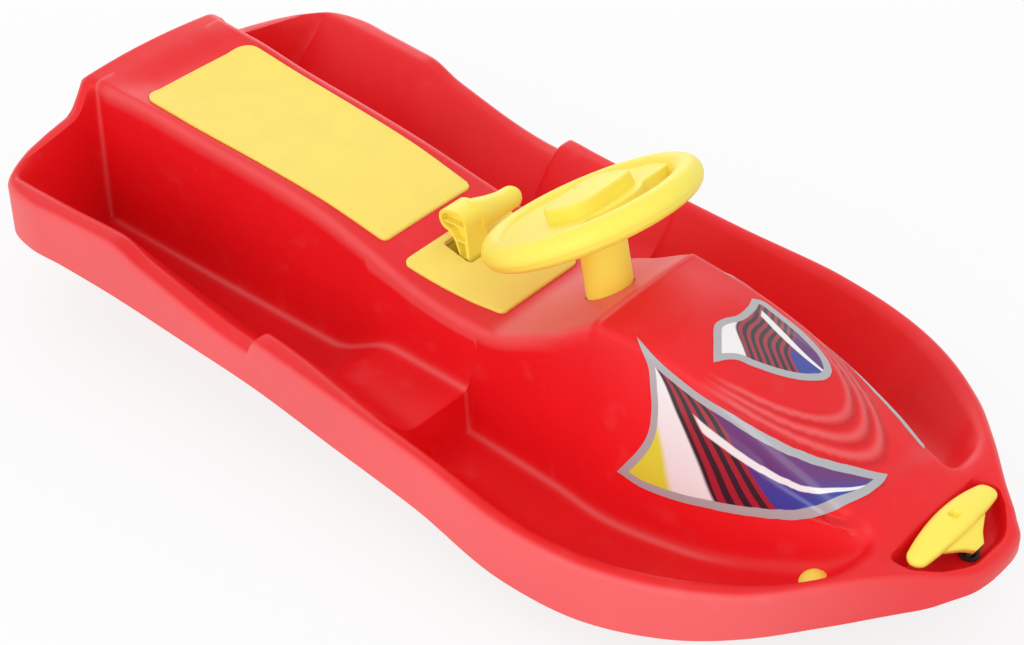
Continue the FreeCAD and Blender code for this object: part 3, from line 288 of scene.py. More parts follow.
class SledColours(bpy.types.PropertyGroup):
    """Colours of the finishes."""
    red: colour("Hull red", "Moulded hull", (0.82, 0.009, 0.014))
    yellow: colour("Yellow plastic", "Wheel, column, brake, tow handle and plugs", (0.97, 0.81, 0.1))
    foam: colour("Foam yellow", "Seat pads", (0.96, 0.75, 0.13))
    black: colour("Dark plastic", "Ski, bushes and reel", (0.022, 0.022, 0.024))
    steel: colour("Steel", "Bolts, axle, claw and spring", (0.56, 0.57, 0.58))
    cord: colour("Cord", "Tow cord", (0.07, 0.07, 0.075))
    silver: colour("Film border", "Border of the printed films", (0.42, 0.42, 0.44))
    ink: colour("Film ink", "Darkest ink of the printed films", (0.012, 0.008, 0.02))
    blue: colour("Film blue", "Blue ink of the printed films", (0.02, 0.045, 0.34))
    crimson: colour("Film crimson", "Dark red ink of the printed films", (0.36, 0.012, 0.03))


class SledStage(bpy.types.PropertyGroup):
    """Camera and lights."""
    azimuth: FloatProperty(name="Azimuth", description="Camera direction round the sled",
                           default=math.radians(40.93), subtype="ANGLE")
    elevation: FloatProperty(name="Elevation", description="Camera height angle",
                             default=math.radians(37.19), subtype="ANGLE")
    distance: FloatProperty(name="Distance", description="Camera to target", default=2.13666, unit="LENGTH")
    lens: FloatProperty(name="Lens", description="Focal length in millimetres", default=78.43)
    world: FloatProperty(name="Sky", description="Strength of the even light", default=0.93)
    sheen: FloatProperty(name="Sheen box", description="Power of the large soft box behind the sled", default=7.0)
    key: FloatProperty(name="Key", description="Power of the key light", default=15.0)


def along(stations, x):
    """Value at x on a monotone cubic line through (x, value) stations, level past both ends."""
    px, pv = np.array(stations, float).T
    run = np.diff(px)
    rise = np.diff(pv) / run
    same = rise[:-1] * rise[1:] > 0
    total = np.where(same, rise[:-1] + rise[1:], 1.0)
    middle = np.where(same, 2.0 * rise[:-1] * rise[1:] / total, 0.0)
    slope = np.concatenate([rise[:1], middle, rise[-1:]])
    x = np.clip(x, px[0], px[-1])
    i = np.clip(np.searchsorted(px, x, "right") - 1, 0, len(run) - 1)
    t = (x - px[i]) / run[i]
    bend = run[i] * t * (1 - t)
    return pv[i] + (pv[i + 1] - pv[i]) * t * t * (3 - 2 * t) + bend * (slope[i] * (1 - t) - slope[i + 1] * t)


def ease(low, high, x):
    """Smooth step: 0 up to low, 1 from high on, 3t^2 - 2t^3 between."""
    t = np.clip((x - low) / (high - low), 0.0, 1.0)
    return t * t * (3 - 2 * t)


def blend(a, b, share):
    """From a at share 0 to b at share 1."""
    return a + (b - a) * share


def smooth_line(points, count):
    """count points, evenly spaced, on a cubic (Catmull-Rom) through the given points."""
    p = np.array(points, float)
    ends = np.vstack([2 * p[0] - p[1], p, 2 * p[-1] - p[-2]])
    t = np.linspace(0, 1, 24, endpoint=False)[:, None, None]
    a, b, c, d = ends[:-3], ends[1:-2], ends[2:-1], ends[3:]
    line = 0.5 * (2 * b + (c - a) * t + (2 * a - 5 * b + 4 * c - d) * t ** 2 + (3 * b - a - 3 * c + d) * t ** 3)
    line = np.vstack([line.transpose(1, 0, 2).reshape(-1, p.shape[1]), p[-1:]])
    run = np.concatenate([[0], np.cumsum(np.linalg.norm(np.diff(line, axis=0), axis=1))])
    at = np.linspace(0, run[-1], count)
    return np.stack([np.interp(at, run, line[:, k]) for k in range(p.shape[1])], -1)


def outline_half(points=24):
    """Left half of the rim's outline: a cubic with chord-length tangents through OUTLINE and its mirror image."""
    p = np.array(OUTLINE, float)
    ring = np.vstack([p, (p[1:-1] * [1, -1])[::-1]])
    before, after = np.roll(ring, 1, 0), np.roll(ring, -1, 0)
    h0 = np.linalg.norm(ring - before, axis=1)[:, None]
    h1 = np.linalg.norm(after - ring, axis=1)[:, None]
    way = ((ring - before) / h0 * h1 + (after - ring) / h1 * h0) / (h0 + h1)
    t = np.linspace(0, 1, points, endpoint=False)[:, None, None]
    n = len(p) - 1
    a, b, ma, mb, h = ring[:n], ring[1:n + 1], way[:n], way[1:n + 1], h1[:n]
    line = (a * (1 + 2 * t) * (1 - t) ** 2 + b * t * t * (3 - 2 * t)
            + h * (ma * t * (1 - t) ** 2 - mb * t * t * (1 - t)))
    return np.vstack([line.transpose(1, 0, 2).reshape(-1, 2), p[-1:]])


RIM_LINE = outline_half()


def deck_height(x, y):
    """Height of the top form without wells: level rim, straight flank, straight shoulder, parabolic crown.

    At the rear the flank is a short steep step down to a deck that falls gently to the rim.
    """
    half = along(SHOULDER_HALF, x)
    inner = np.maximum(along(OUTLINE[REAR_CORNER:], x) - along(RIM_WIDTH, x), half + RIM_LEAST)
    rim, edge, crown = along(RIM_TOP, x), along(SHOULDER, x), along(RIDGE, x)
    mid_y, mid = CROWN_SHARE * half, blend(crown, edge, CROWN_MIX)
    flank = edge + (rim - edge) * (y - half) / (inner - half)
    past = y - half - DECK_STEP_RUN
    deck = rim + DECK_STEP_FOOT * (1 - past / (inner - half - DECK_STEP_RUN))
    step = np.where(past < 0, rim + DECK_STEP_FOOT - (edge - rim - DECK_STEP_FOOT) * past / DECK_STEP_RUN, deck)
    flank = blend(step, flank, ease(*DECK_STEP_END, x))
    slope = mid + (edge - mid) * (y - mid_y) / (half - mid_y)
    cap = crown - (crown - mid) * (y / mid_y) ** 2
    return np.where(y >= inner, rim, np.where(y >= half, flank, np.where(y >= mid_y, slope, cap)))


def stations():
    """x of the hull's cross-sections: close where the outline turns, at steps and over the bonnet."""
    tail = RIM_LINE[::-1]
    rear = np.interp(np.linspace(0, 215, 22), RIM_LINE[:150, 1], RIM_LINE[:150, 0])
    nose = np.interp(np.linspace(0, 62, 14), tail[:90, 1], tail[:90, 0])[::-1]
    close = [
        np.linspace(WELL_REAR - 7, WELL_REAR + 3, 9), np.linspace(-145, -127, 10),
        STEP_X + np.linspace(-3, STEP_RUN + 3, 10), np.linspace(100, 154, 24), np.linspace(240, 436, 66),
        RECESS_REAR + np.linspace(-1, RECESS_DRAFT + 1, 7), RECESS_FRONT + np.linspace(-RECESS_RUN_OUT - 1, 1, 12),
    ]
    places = np.unique(np.round(np.concatenate([rear, np.linspace(rear[-1], nose[0], 178), nose] + close), 3))
    places = places[np.concatenate([[True], np.diff(places) > 0.3])]
    places[-1] = RIM_LINE[-1, 0]
    return places if len(places) % 2 else np.delete(places, len(places) // 2)


def section_corners(s):
    """Corners of the left half section: skirt foot, rim edge, lip, well floor twice, shoulder, crown edge, middle.

    Each corner is a function of the station s; near the slanted rear wall of the well x runs forward with y.
    """
    fade = ease(*SLANT_IN, s) * (1 - ease(*SLANT_OUT, s))

    def shifted(y):
        return s + WELL_SLANT * fade * np.maximum(y - SLANT_FROM, 0.0)

    half = np.interp(s, *RIM_LINE.T)
    for step in range(SLANT_TURNS):
        half = np.interp(shifted(half), *RIM_LINE.T)
    rim_x = shifted(half)
    behind = s < WELL_REAR + REAR_BAND
    shoulder = np.minimum(along(SHOULDER_HALF, s), np.where(behind, 0.8, CROWN_SHARE) * half)
    lip = along(OUTLINE[REAR_CORNER:], rim_x) - along(RIM_WIDTH, rim_x)
    lip = np.minimum(np.maximum(lip, along(SHOULDER_HALF, s) + RIM_LEAST), RIM_SHARE * half)
    front = ease(STEP_X, STEP_X + STEP_RUN, s)
    floor = blend(along(REAR_FLOOR, s), along(FRONT_FLOOR, s), front)
    outer = blend(along(REAR_OUTER, s), along(FRONT_OUTER, s), front)
    depth = ease(WELL_REAR + WELL_REAR_RUN[0], WELL_REAR + WELL_REAR_RUN[1], s)
    depth = depth * (1 - ease(WELL_FRONT + WELL_FRONT_RUN[0], WELL_FRONT + WELL_FRONT_RUN[1], s))
    cut = ease(RECESS_REAR, RECESS_REAR + RECESS_DRAFT, s)
    cut = cut * (1 - ease(RECESS_FRONT - RECESS_RUN_OUT, RECESS_FRONT, s))
    near = ease(RECESS_REAR - RECESS_BEFORE, RECESS_REAR, s)
    near = near * (1 - ease(RECESS_FRONT, RECESS_FRONT + RECESS_AFTER, s))
    hollow = np.minimum(along(RECESS_PLAN, s), lip - RIM_CLEAR)
    top_edge = blend(shoulder, hollow, near)
    crown_edge = np.minimum(blend(CROWN_SHARE * shoulder, hollow - RECESS_DRAFT, near), 0.9 * top_edge)
    step = np.minimum(top_edge + DECK_STEP_RUN, (top_edge + lip) / 2)
    step = np.where(behind, step, blend(lip, top_edge, 2 / 3))
    floor_out = np.where(behind, (step + lip) / 2, blend(lip, top_edge, 1 / 3))
    floor_out = blend(floor_out, np.minimum(outer, lip - RIM_CLEAR), depth)
    floor_in = blend(step, along(WELL_INNER, s), depth)
    ys = [half, half, lip, floor_out, floor_in, top_edge, crown_edge, 0 * half]
    xs = [shifted(y) for y in ys]
    zs = [deck_height(x, y) for x, y in zip(xs, ys)]
    zs[0] = along(SKIRT_FOOT, rim_x)
    zs[3], zs[4] = blend(zs[3], floor, depth), blend(zs[4], floor, depth)
    zs[6], zs[7] = blend(zs[6], RECESS_FLOOR, cut), blend(zs[7], RECESS_FLOOR, cut)
    return np.stack([np.stack(p, -1) for p in zip(xs, ys, zs)], 1), cut


def half_sections(s):
    """Left half sections: straight runs between the corners, each corner rounded by a quadratic curve."""
    corners, cut = section_corners(s)
    t = np.linspace(0, 1, BEND_POINTS)[None, :-1, None]
    starts, ends, bends = [corners[:, 0]], [], []
    for k in range(1, corners.shape[1] - 1):
        back, here, on = corners[:, k - 1] - corners[:, k], corners[:, k], corners[:, k + 1] - corners[:, k]
        room_back = np.linalg.norm(back, axis=1, keepdims=True) + 1e-9
        room_on = np.linalg.norm(on, axis=1, keepdims=True) + 1e-9
        reach = np.minimum(CORNER_ROUND[k], 0.45 * np.minimum(room_back, room_on))
        a, b = here + back / room_back * reach, here + on / room_on * reach
        bends.append(a[:, None] * (1 - t) ** 2 + here[:, None] * 2 * t * (1 - t) + b[:, None] * t * t)
        ends.append(a)
        starts.append(b)
    ends.append(corners[:, -1])
    rows = []
    for k, count in enumerate(RUN_POINTS):
        last = k == len(RUN_POINTS) - 1
        share = np.linspace(0, 1, count + 1) ** (RIM_GATHER if k == RIM_RUN else 1.0)
        share = share[None, :, None] if last else share[None, :-1, None]
        rows.append(blend(starts[k][:, None], ends[k][:, None], share))
        if not last and CORNER_ROUND[k + 1] > 0.0:
            rows.append(bends[k])
    sections = np.concatenate(rows, 1)
    y, mid, crown = sections[:, :, 1], corners[:, 6], corners[:, 7, 2][:, None]
    cap = crown - (crown - mid[:, 2][:, None]) * (y / np.maximum(mid[:, 1][:, None], 1e-6)) ** 2
    on_cap = (y <= mid[:, 1][:, None]) & (np.arange(y.shape[1])[None] > y.shape[1] - RUN_POINTS[-1] - 4)
    sections[:, :, 2] = np.where(on_cap & (cut[:, None] <= 0.0), cap, sections[:, :, 2])
    return sections


def round_edge(sections):
    """Rounds the rim's outer edge: points nearer than EDGE_ROUND to the outline drop along a quarter circle."""
    nearest = outline_distance(sections[:, RUN_POINTS[0]:].reshape(-1, 3))
    inside = np.clip(EDGE_ROUND - nearest, 0, EDGE_ROUND)
    rounded = sections.copy()
    drop = EDGE_ROUND - np.sqrt(EDGE_ROUND ** 2 - inside ** 2)
    rounded[:, RUN_POINTS[0]:, 2] -= drop.reshape(len(sections), -1)
    share = np.linspace(0, 1, RUN_POINTS[0] + 1)[None]
    foot, top = rounded[:, :1, 2].copy(), rounded[:, RUN_POINTS[0]:RUN_POINTS[0] + 1, 2].copy()
    rounded[:, :RUN_POINTS[0] + 1, 2] = blend(foot, top, share)
    return rounded


def ledge_lines(x, y):
    """Distance to each crescent and its strength; a crescent is a level line of |X/a|^p + |Y/b|^p."""
    reach = np.maximum(x - LEDGE_ROOT, 0.0)
    (rear, full), gone = LEDGE_FADE
    shown = ease(LEDGE_ROOT + rear, LEDGE_ROOT + full, x) * (1 - ease(*gone, x))
    for front, side in LEDGES:
        level = ((reach / front) ** LEDGE_POWER + (y / side) ** LEDGE_POWER) ** (1 / LEDGE_POWER)
        yield (level - 1.0) * blend(side, front, ease(0.0, 1.0, reach / front)), shown


def bonnet_relief(sections):
    """Adds the stepped crescents, a smooth step down across each line, and the lip at the bonnet's rear edge."""
    x, y, z = sections[..., 0], sections[..., 1], sections[..., 2].copy()
    on_top = (x > LIP_X - RELIEF_REAR) & (x < RECESS_REAR - RELIEF_FRONT)
    on_top = on_top & (y < along(SHOULDER_HALF, x) + RELIEF_SIDE)
    for distance, shown in ledge_lines(x, y):
        z = np.where(on_top, z + LEDGE_DROP * shown * (0.5 - ease(-LEDGE_RUN, LEDGE_RUN, distance)), z)
    lip = LIP_RISE * (1 - ease(0.0, LIP_HALF, np.abs(x - LIP_X))) * (1 - ease(*LIP_END, y))
    sections[..., 2] = np.where(on_top, z + lip, z)
    return sections


def outline_distance(points):
    """Distance in plan from each point to the rim's outline, worked out in blocks of points."""
    start, way = RIM_LINE[:-1], np.diff(RIM_LINE, axis=0)
    nearest = np.empty(len(points))
    for k in range(0, len(points), POINT_BLOCK):
        gap = points[k:k + POINT_BLOCK, None, :2] - start[None]
        t = np.clip((gap * way).sum(-1) / (way * way).sum(-1), 0, 1)
        nearest[k:k + POINT_BLOCK] = np.linalg.norm(gap - t[..., None] * way, axis=-1).min(1)
    return nearest


def painted_sheen_share(points):
    """Share of painted pale sheen at each point: painted reflection on the skirt, its rounded rim edge and the
    dashboard, painted highlights along the bonnet lip, saddle edges and creases.
    """
    x, y, z = points[:, 0], np.abs(points[:, 1]), points[:, 2]
    # painted reflection: pale sheen on the rounded rim edge and the skirt
    skirt = SKIRT_SHEEN * (1 - ease(1.0, EDGE_ROUND, outline_distance(np.stack([x, y], 1))))
    skirt = skirt * (1 - NOSE_CLEAR * ease(*NOSE_CLEAR_X, x))
    edge = along(SHOULDER_HALF, x)
    # painted reflection: pale sheen over the dashboard
    dash = DASH_SHEEN * ease(*DASH_START, x) * (1 - ease(LIP_X + DASH_STOP[0], LIP_X + DASH_STOP[1], x))
    dash = dash * (1 - ease(edge + DASH_SIDE[0], edge + DASH_SIDE[1], y))
    # painted highlights: pale lines along the bonnet's lip and the saddle's edges
    lip = EDGE_HIGHLIGHT * (1 - ease(*LIP_WIDTH, np.abs(x - LIP_X))) * (1 - ease(*LIP_END, y))
    saddle = SADDLE_SHARE * EDGE_HIGHLIGHT * (1 - ease(*SADDLE_WIDTH, np.abs(y - edge)))
    saddle = saddle * ease(*SADDLE_START, x) * (1 - ease(*SADDLE_STOP, x))
    upper = np.where(z > along(SHOULDER, x) - DASH_DEEP, np.maximum.reduce([dash, lip, saddle]), 0.0)
    return np.maximum.reduce([skirt, upper, crease_highlight_share(x, y, z)])


def crease_highlight_share(x, y, z):
    """Painted highlight lines in the wells: along the foot of the saddle and the bonnet, and up the rear corner."""
    line = HULL[:, CREASE_COLUMN]
    off = np.hypot(y - np.interp(x, line[:, 0], line[:, 1]), z - np.interp(x, line[:, 0], line[:, 2]))
    foot = (1 - ease(*CREASE_WIDTH, off)) * (1 - ease(*CREASE_STOP, x))
    foot = foot * ease(WELL_REAR + CREASE_START[0], WELL_REAR + CREASE_START[1], x)
    wall = WELL_REAR + CORNER_SHIFT + WELL_SLANT * np.maximum(y - SLANT_FROM, 0.0)
    inner = along(WELL_INNER, x)
    rear = 1 - ease(*CORNER_WIDTH, np.abs(x - wall))
    rear = rear * (1 - ease(inner + CORNER_SIDE[0], inner + CORNER_SIDE[1], y))
    rear = rear * (z > along(REAR_FLOOR, x) + CORNER_LOW) * (y > CORNER_IN)
    # share of painted highlight along the creases
    return CREASE_HIGHLIGHT * np.maximum(foot, rear)


def hull_grid():
    """Outer skin as a grid: rows are stations from the rear, columns run from the left skirt foot to the right."""
    half = bonnet_relief(round_edge(half_sections(stations())))
    return np.concatenate([half, half[:, -2::-1] * np.array([1, -1, 1])], 1)


HULL = hull_grid()


def grid_normals(grid):
    """Unit normals: cross product of the column and row differences, smoothed by averaging neighbours."""
    normal = np.cross(np.gradient(grid, axis=1), np.gradient(grid, axis=0))
    normal /= np.linalg.norm(normal, axis=2, keepdims=True) + 1e-9
    for turn in range(NORMAL_SMOOTHING):
        padded = np.pad(normal, ((1, 1), (1, 1), (0, 0)), mode="edge")
        normal = (padded[:-2, 1:-1] + padded[2:, 1:-1] + padded[1:-1, :-2] + padded[1:-1, 2:] + 2 * normal) / 6
        normal /= np.linalg.norm(normal, axis=2, keepdims=True) + 1e-9
    return normal


class Shape:
    """Vertices and faces of one piece, gathered from grids of points in millimetres."""

    def __init__(self):
        self.points, self.faces, self.count = [], [], 0

    def add(self, points, faces):
        """Adds points and the faces that count from the first of them."""
        self.points.append(np.asarray(points, float).reshape(-1, 3))
        self.faces += [tuple(v + self.count for v in face) for face in faces]
        self.count += len(self.points[-1])
        return self

    def grid(self, points, wrap_rows=False, wrap_columns=True, caps=True):
        """Quads of a grid; a wrapped direction joins its last line to its first, caps close the end rows."""
        rows, columns = points.shape[:2]
        i = np.arange(rows if wrap_rows else rows - 1)[:, None]
        j = np.arange(columns if wrap_columns else columns - 1)[None]
        i1, j1 = (i + 1) % rows, (j + 1) % columns
        corners = (i * columns + j, i * columns + j1, i1 * columns + j1, i1 * columns + j)
        faces = np.stack(np.broadcast_arrays(*corners), -1).reshape(-1, 4).tolist()
        if caps and not wrap_rows:
            faces += [list(range(columns))[::-1], list(range((rows - 1) * columns, rows * columns))]
        return self.add(points, faces)

    def mesh(self, name, recalculate=True):
        """The gathered faces as a mesh in metres, with equal points merged and normals turned outwards."""
        data = bpy.data.meshes.new(name)
        data.from_pydata((np.concatenate(self.points) * MM).tolist(), [], self.faces)
        work = bmesh.new()
        work.from_mesh(data)
        bmesh.ops.remove_doubles(work, verts=work.verts, dist=2e-6)
        bmesh.ops.dissolve_degenerate(work, edges=work.edges, dist=1e-7)
        if recalculate:
            bmesh.ops.recalc_face_normals(work, faces=work.faces)
        work.to_mesh(data)
        work.free()
        return data

    def piece(self, name, material, body, slot, nodes):
        """The shape as a dressed object that stands for the CAD nodes."""
        return dressed(placed(name, self.mesh(name)), material, body, nodes)


def placed(name, data):
    """An object for the mesh or curve, linked to the scene."""
    obj = bpy.data.objects.new(name, data)
    bpy.context.scene.collection.objects.link(obj)
    return obj


def dressed(obj, material, body, nodes):
    """Gives a new piece its shading, finish and body, and hides the CAD nodes that it stands for."""
    obj.data.shade_smooth()
    obj.data.set_sharp_from_angle(angle=math.radians(SHARP_ANGLE))
    obj.data.materials.clear()
    obj.data.materials.append(material)
    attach(obj, body)
    if nodes:
        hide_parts(*nodes)
    return obj


def cut_out(obj, shapes):
    """Takes the closed shapes away from a piece and keeps the result as its mesh."""
    cutters = []
    for k, shape in enumerate(shapes):
        cutter = placed("cutter_%d" % k, shape.mesh("cutter_%d" % k))
        step = obj.modifiers.new("cut_%d" % k, "BOOLEAN")
        step.operation, step.solver, step.object = "DIFFERENCE", "EXACT", cutter
        cutters.append(cutter)
    bpy.context.view_layer.update()
    result = bpy.data.meshes.new_from_object(obj.evaluated_get(bpy.context.evaluated_depsgraph_get()))
    obj.modifiers.clear()
    obj.data = result
    for cutter in cutters:
        bpy.data.meshes.remove(cutter.data)


def circle(count):
    """Cosines and sines of evenly spaced angles."""
    turn = np.linspace(0, 2 * np.pi, count, endpoint=False)
    return np.cos(turn), np.sin(turn)


def turned(profile, foot, axis, count=64):
    """Surface of revolution: (radius, distance along the axis) pairs turned round the axis through foot."""
    axis = np.asarray(axis, float) / np.linalg.norm(axis)
    side = np.array([0.0, 1.0, 0.0]) if abs(axis[1]) < 0.9 else np.array([1.0, 0.0, 0.0])
    other = np.cross(axis, side)
    other /= np.linalg.norm(other)
    side = np.cross(other, axis)
    c, s = circle(count)
    ring = c[:, None] * side + s[:, None] * other
    p = np.array(profile, float)
    return np.asarray(foot) + p[:, 1, None, None] * axis + p[:, 0, None, None] * ring[None]


def swept(places, across, up, widths, heights, power=2.0, count=40):
    """Superellipse |a/w|^p + |b/h|^p = 1 carried through places, spanned by the directions across and up."""
    c, s = circle(count)
    a = np.sign(c) * np.abs(c) ** (2 / power)
    b = np.sign(s) * np.abs(s) ** (2 / power)
    widths, heights = np.broadcast_to(widths, len(places)), np.broadcast_to(heights, len(places))
    across, up = np.broadcast_to(across, (len(places), 3)), np.broadcast_to(up, (len(places), 3))
    return (np.asarray(places, float)[:, None] + widths[:, None, None] * a[None, :, None] * across[:, None]
            + heights[:, None, None] * b[None, :, None] * up[:, None])


def cut_corners(outline, turns=3):
    """Closed outline with its corners cut by Chaikin's rule: each turn keeps the middle half of every edge."""
    line = np.asarray(outline, float)
    for turn in range(turns):
        on = np.roll(line, -1, 0)
        line = np.stack([blend(line, on, 0.25), blend(line, on, 0.75)], 1).reshape(-1, line.shape[1])
    return line


def prism(outline, depth):
    """Two copies of a closed outline of 3-D points, depth apart."""
    outline = np.asarray(outline, float)
    return np.stack([outline, outline + np.asarray(depth, float)])


def side_plate(outline, low, high):
    """Plate between two y values from an outline of (x, z) pairs."""
    line = np.array([(x, low, z) for x, z in outline])
    return prism(line, (0, high - low, 0))


class Value:
    """A shader socket on which sums are written as Python expressions."""

    def __init__(self, finish, socket):
        self.finish, self.socket = finish, socket

    def maths(self, operation, *values):
        """One maths node on these values."""
        return self.finish.node("ShaderNodeMath", {"operation": operation}, dict(enumerate(values)))

    def __add__(self, other):
        return self.maths("ADD", self, other)

    def __sub__(self, other):
        return self.maths("SUBTRACT", self, other)

    def __rsub__(self, other):
        return self.maths("SUBTRACT", other, self)

    def __mul__(self, other):
        return self.maths("MULTIPLY", self, other)

    def __truediv__(self, other):
        return self.maths("DIVIDE", self, other)

    def __rtruediv__(self, other):
        return self.maths("DIVIDE", other, self)

    __radd__, __rmul__ = __add__, __mul__

    def sine(self):
        """Sine, in radians."""
        return self.maths("SINE", self)

    def size(self):
        """Value without its sign."""
        return self.maths("ABSOLUTE", self)

    def power(self, other):
        """Value raised to a power."""
        return self.maths("POWER", self, other)

    def at_least(self, other):
        """The larger of the two."""
        return self.maths("MAXIMUM", self, other)

    def beyond(self, low, high):
        """Smooth step from 0 at low to 1 at high."""
        return self.finish.node("ShaderNodeMapRange", {"interpolation_type": "SMOOTHSTEP"},
                                {"Value": self, "From Min": low, "From Max": high})


class Finish:
    """A node material on the Principled shader; constants are set on its own sockets."""

    def __init__(self, name, **constants):
        self.material = bpy.data.materials.new(name)
        self.material.use_nodes = True
        self.tree = self.material.node_tree
        self.surface = self.tree.nodes["Principled BSDF"]
        for socket, value in constants.items():
            self.surface.inputs[socket.replace("_", " ")].default_value = value

    def node(self, kind, settings=None, inputs=None, output=0):
        """New node with its settings, its linked or constant inputs, and the output that is wanted."""
        made = self.tree.nodes.new(kind)
        for key, value in (settings or {}).items():
            setattr(made, key, value)
        for key, value in (inputs or {}).items():
            if isinstance(value, Value):
                self.tree.links.new(value.socket, made.inputs[key])
            else:
                made.inputs[key].default_value = value
        return Value(self, made.outputs[output])

    def place(self):
        """Object coordinates, in metres."""
        return self.node("ShaderNodeTexCoord", output="Object")

    def axes(self, where=None):
        """x, y and z of a vector, or of the place when none is given."""
        parts = self.node("ShaderNodeSeparateXYZ", {}, {"Vector": where or self.place()}).socket.node.outputs
        return tuple(Value(self, parts[k]) for k in range(3))

    def uv(self, name):
        """u and v of a named layer."""
        return self.axes(self.node("ShaderNodeUVMap", {"uv_map": name}))[:2]

    def noise(self, scale, detail=2.0, where=None):
        """Noise between 0 and 1 with so many cells a metre."""
        inputs = {"Vector": where or self.place(), "Scale": scale, "Detail": detail}
        return self.node("ShaderNodeTexNoise", {}, inputs, "Fac")

    def mix(self, share, a, b):
        """Colour between a and b."""
        return self.node("ShaderNodeMix", {"data_type": "RGBA"}, {0: share, 6: rgba(a), 7: rgba(b)}, 2)

    def feed(self, **values):
        """Links values to the surface's sockets; an underscore stands for a space."""
        for socket, value in values.items():
            self.tree.links.new(value.socket, self.surface.inputs[socket.replace("_", " ")])
        return self

    def bump(self, height, distance):
        """Feeds the surface's normal from a height, in units of distance."""
        inputs = {"Strength": 1.0, "Distance": distance, "Height": height}
        return self.feed(Normal=self.node("ShaderNodeBump", {}, inputs, "Normal"))


def rgba(value):
    """A shader value as it is, or a plain colour with full opacity."""
    return value if isinstance(value, Value) else (*value[:3], 1.0)


def shade(value, share):
    """A colour made darker or lighter by a factor, at most 1 in each part."""
    return tuple(min(1.0, v * share) for v in value)


def moulded(name, base, rough, grain=0.00004, scale=900.0, shine=0.5, crescents=()):
    """Moulded plastic: broad flow marks, a fine eroded grain, faint rubbed patches and the hull's painted pale
    sheen and highlights.

    Each crescent of the bonnet lowers the bump's height by a smooth step, with a painted highlight along its upper
    edge and painted shade at its foot.
    """
    f = Finish(name, Specular_IOR_Level=shine)
    flow = f.noise(4.0, 4.0)
    fine = f.noise(scale, 2.0)
    rubbed = f.noise(38.0, 6.0).beyond(0.56, 0.72)
    tint = f.mix(flow.beyond(0.3, 0.7), shade(base, 0.93), shade(base, 1.04))
    # painted pale sheen and highlights, read from the hull's point attribute
    painted_sheen = f.node("ShaderNodeAttribute", {"attribute_name": "painted_sheen"}, output="Fac")
    height = fine * grain
    (rear, full), gone = LEDGE_FADE
    for front, side in crescents:
        x, y, z = f.axes()
        reach = ((x - LEDGE_ROOT * MM) / (front * MM)).at_least(0.0).power(LEDGE_POWER)
        level = (reach + (y.size() / (side * MM)).power(LEDGE_POWER)).power(1 / LEDGE_POWER)
        far = (level - 1.0) * side
        shown = x.beyond((LEDGE_ROOT + rear) * MM, (LEDGE_ROOT + full) * MM)
        shown = shown * (1 - x.beyond(gone[0] * MM, gone[1] * MM)) * z.beyond(0.1, 0.11)
        height = height - far.beyond(-LEDGE_RUN, LEDGE_RUN) * shown * (LEDGE_DROP * MM)
        # painted highlight: pale line along the upper edge of each step
        crest_highlight = far.beyond(-2.2 * LEDGE_RUN, -0.7 * LEDGE_RUN)
        crest_highlight = crest_highlight * (1 - far.beyond(-0.7 * LEDGE_RUN, 0.5 * LEDGE_RUN))
        # painted shade: dark line at the foot of each step
        foot = far.beyond(-0.4 * LEDGE_RUN, 0.6 * LEDGE_RUN)
        foot = foot * (1 - far.beyond(0.6 * LEDGE_RUN, 2.0 * LEDGE_RUN))
        painted_sheen = painted_sheen + crest_highlight * shown * 0.4
        tint = f.mix(foot * shown * 0.45, tint, shade(base, 0.62))
    pale = blend(np.array(base), 1.0, 0.22)
    # pale mix: the rubbed patches are wear, the point attribute's share is painted sheen and highlights
    f.feed(Base_Color=f.mix(rubbed * 0.05 + painted_sheen * (0.8 + 0.4 * flow), tint, pale))
    f.feed(Roughness=rough + 0.1 * (flow - 0.5) + 0.08 * (fine - 0.5) + 0.05 * rubbed + 0.1 * painted_sheen)
    return f.bump(height, 1.0).material


def foam(name, base):
    """Closed-cell foam: small cells, a soft mottling and a matt skin."""
    f = Finish(name, Sheen_Weight=0.12, Sheen_Roughness=0.5)
    cells = f.node("ShaderNodeTexVoronoi", {}, {"Vector": f.place(), "Scale": 620.0}, "Distance")
    mottle = f.noise(28.0, 4.0)
    tint = f.mix(mottle.beyond(0.3, 0.7), shade(base, 0.98), shade(base, 1.02))
    f.feed(Base_Color=f.mix(cells.beyond(0.1, 0.6) * 0.12, tint, shade(base, 0.78)))
    f.feed(Roughness=0.72 + 0.12 * (mottle - 0.5))
    return f.bump(cells + 0.4 * f.noise(240.0, 3.0), 0.00012).material


def brushed(name, base):
    """Zinc-plated steel: fine drawn lines and cloudy patches."""
    f = Finish(name, Metallic=1.0)
    stretched = f.node("ShaderNodeMapping", {}, {"Vector": f.place(), "Scale": (30.0, 900.0, 900.0)})
    lines = f.noise(2.0, 3.0, stretched)
    cloud = f.noise(60.0, 4.0)
    f.feed(Base_Color=f.mix(cloud, shade(base, 0.82), shade(base, 1.08)))
    f.feed(Roughness=0.26 + 0.16 * lines + 0.1 * (cloud - 0.5))
    return f.bump(lines, 0.00002).material


def braid(name, base):
    """Braided cord: two crossing sets of slanted strands along the pull."""
    f = Finish(name, Roughness=0.85, Sheen_Weight=0.2)
    y, z = f.axes()[1:]
    strand = (z * 2600.0 + y * 1800.0).sine() * (z * 2600.0 - y * 1800.0).sine()
    f.feed(Base_Color=f.mix(strand.beyond(-0.3, 0.6), shade(base, 0.5), shade(base, 1.7)))
    return f.bump(strand, 0.0003).material


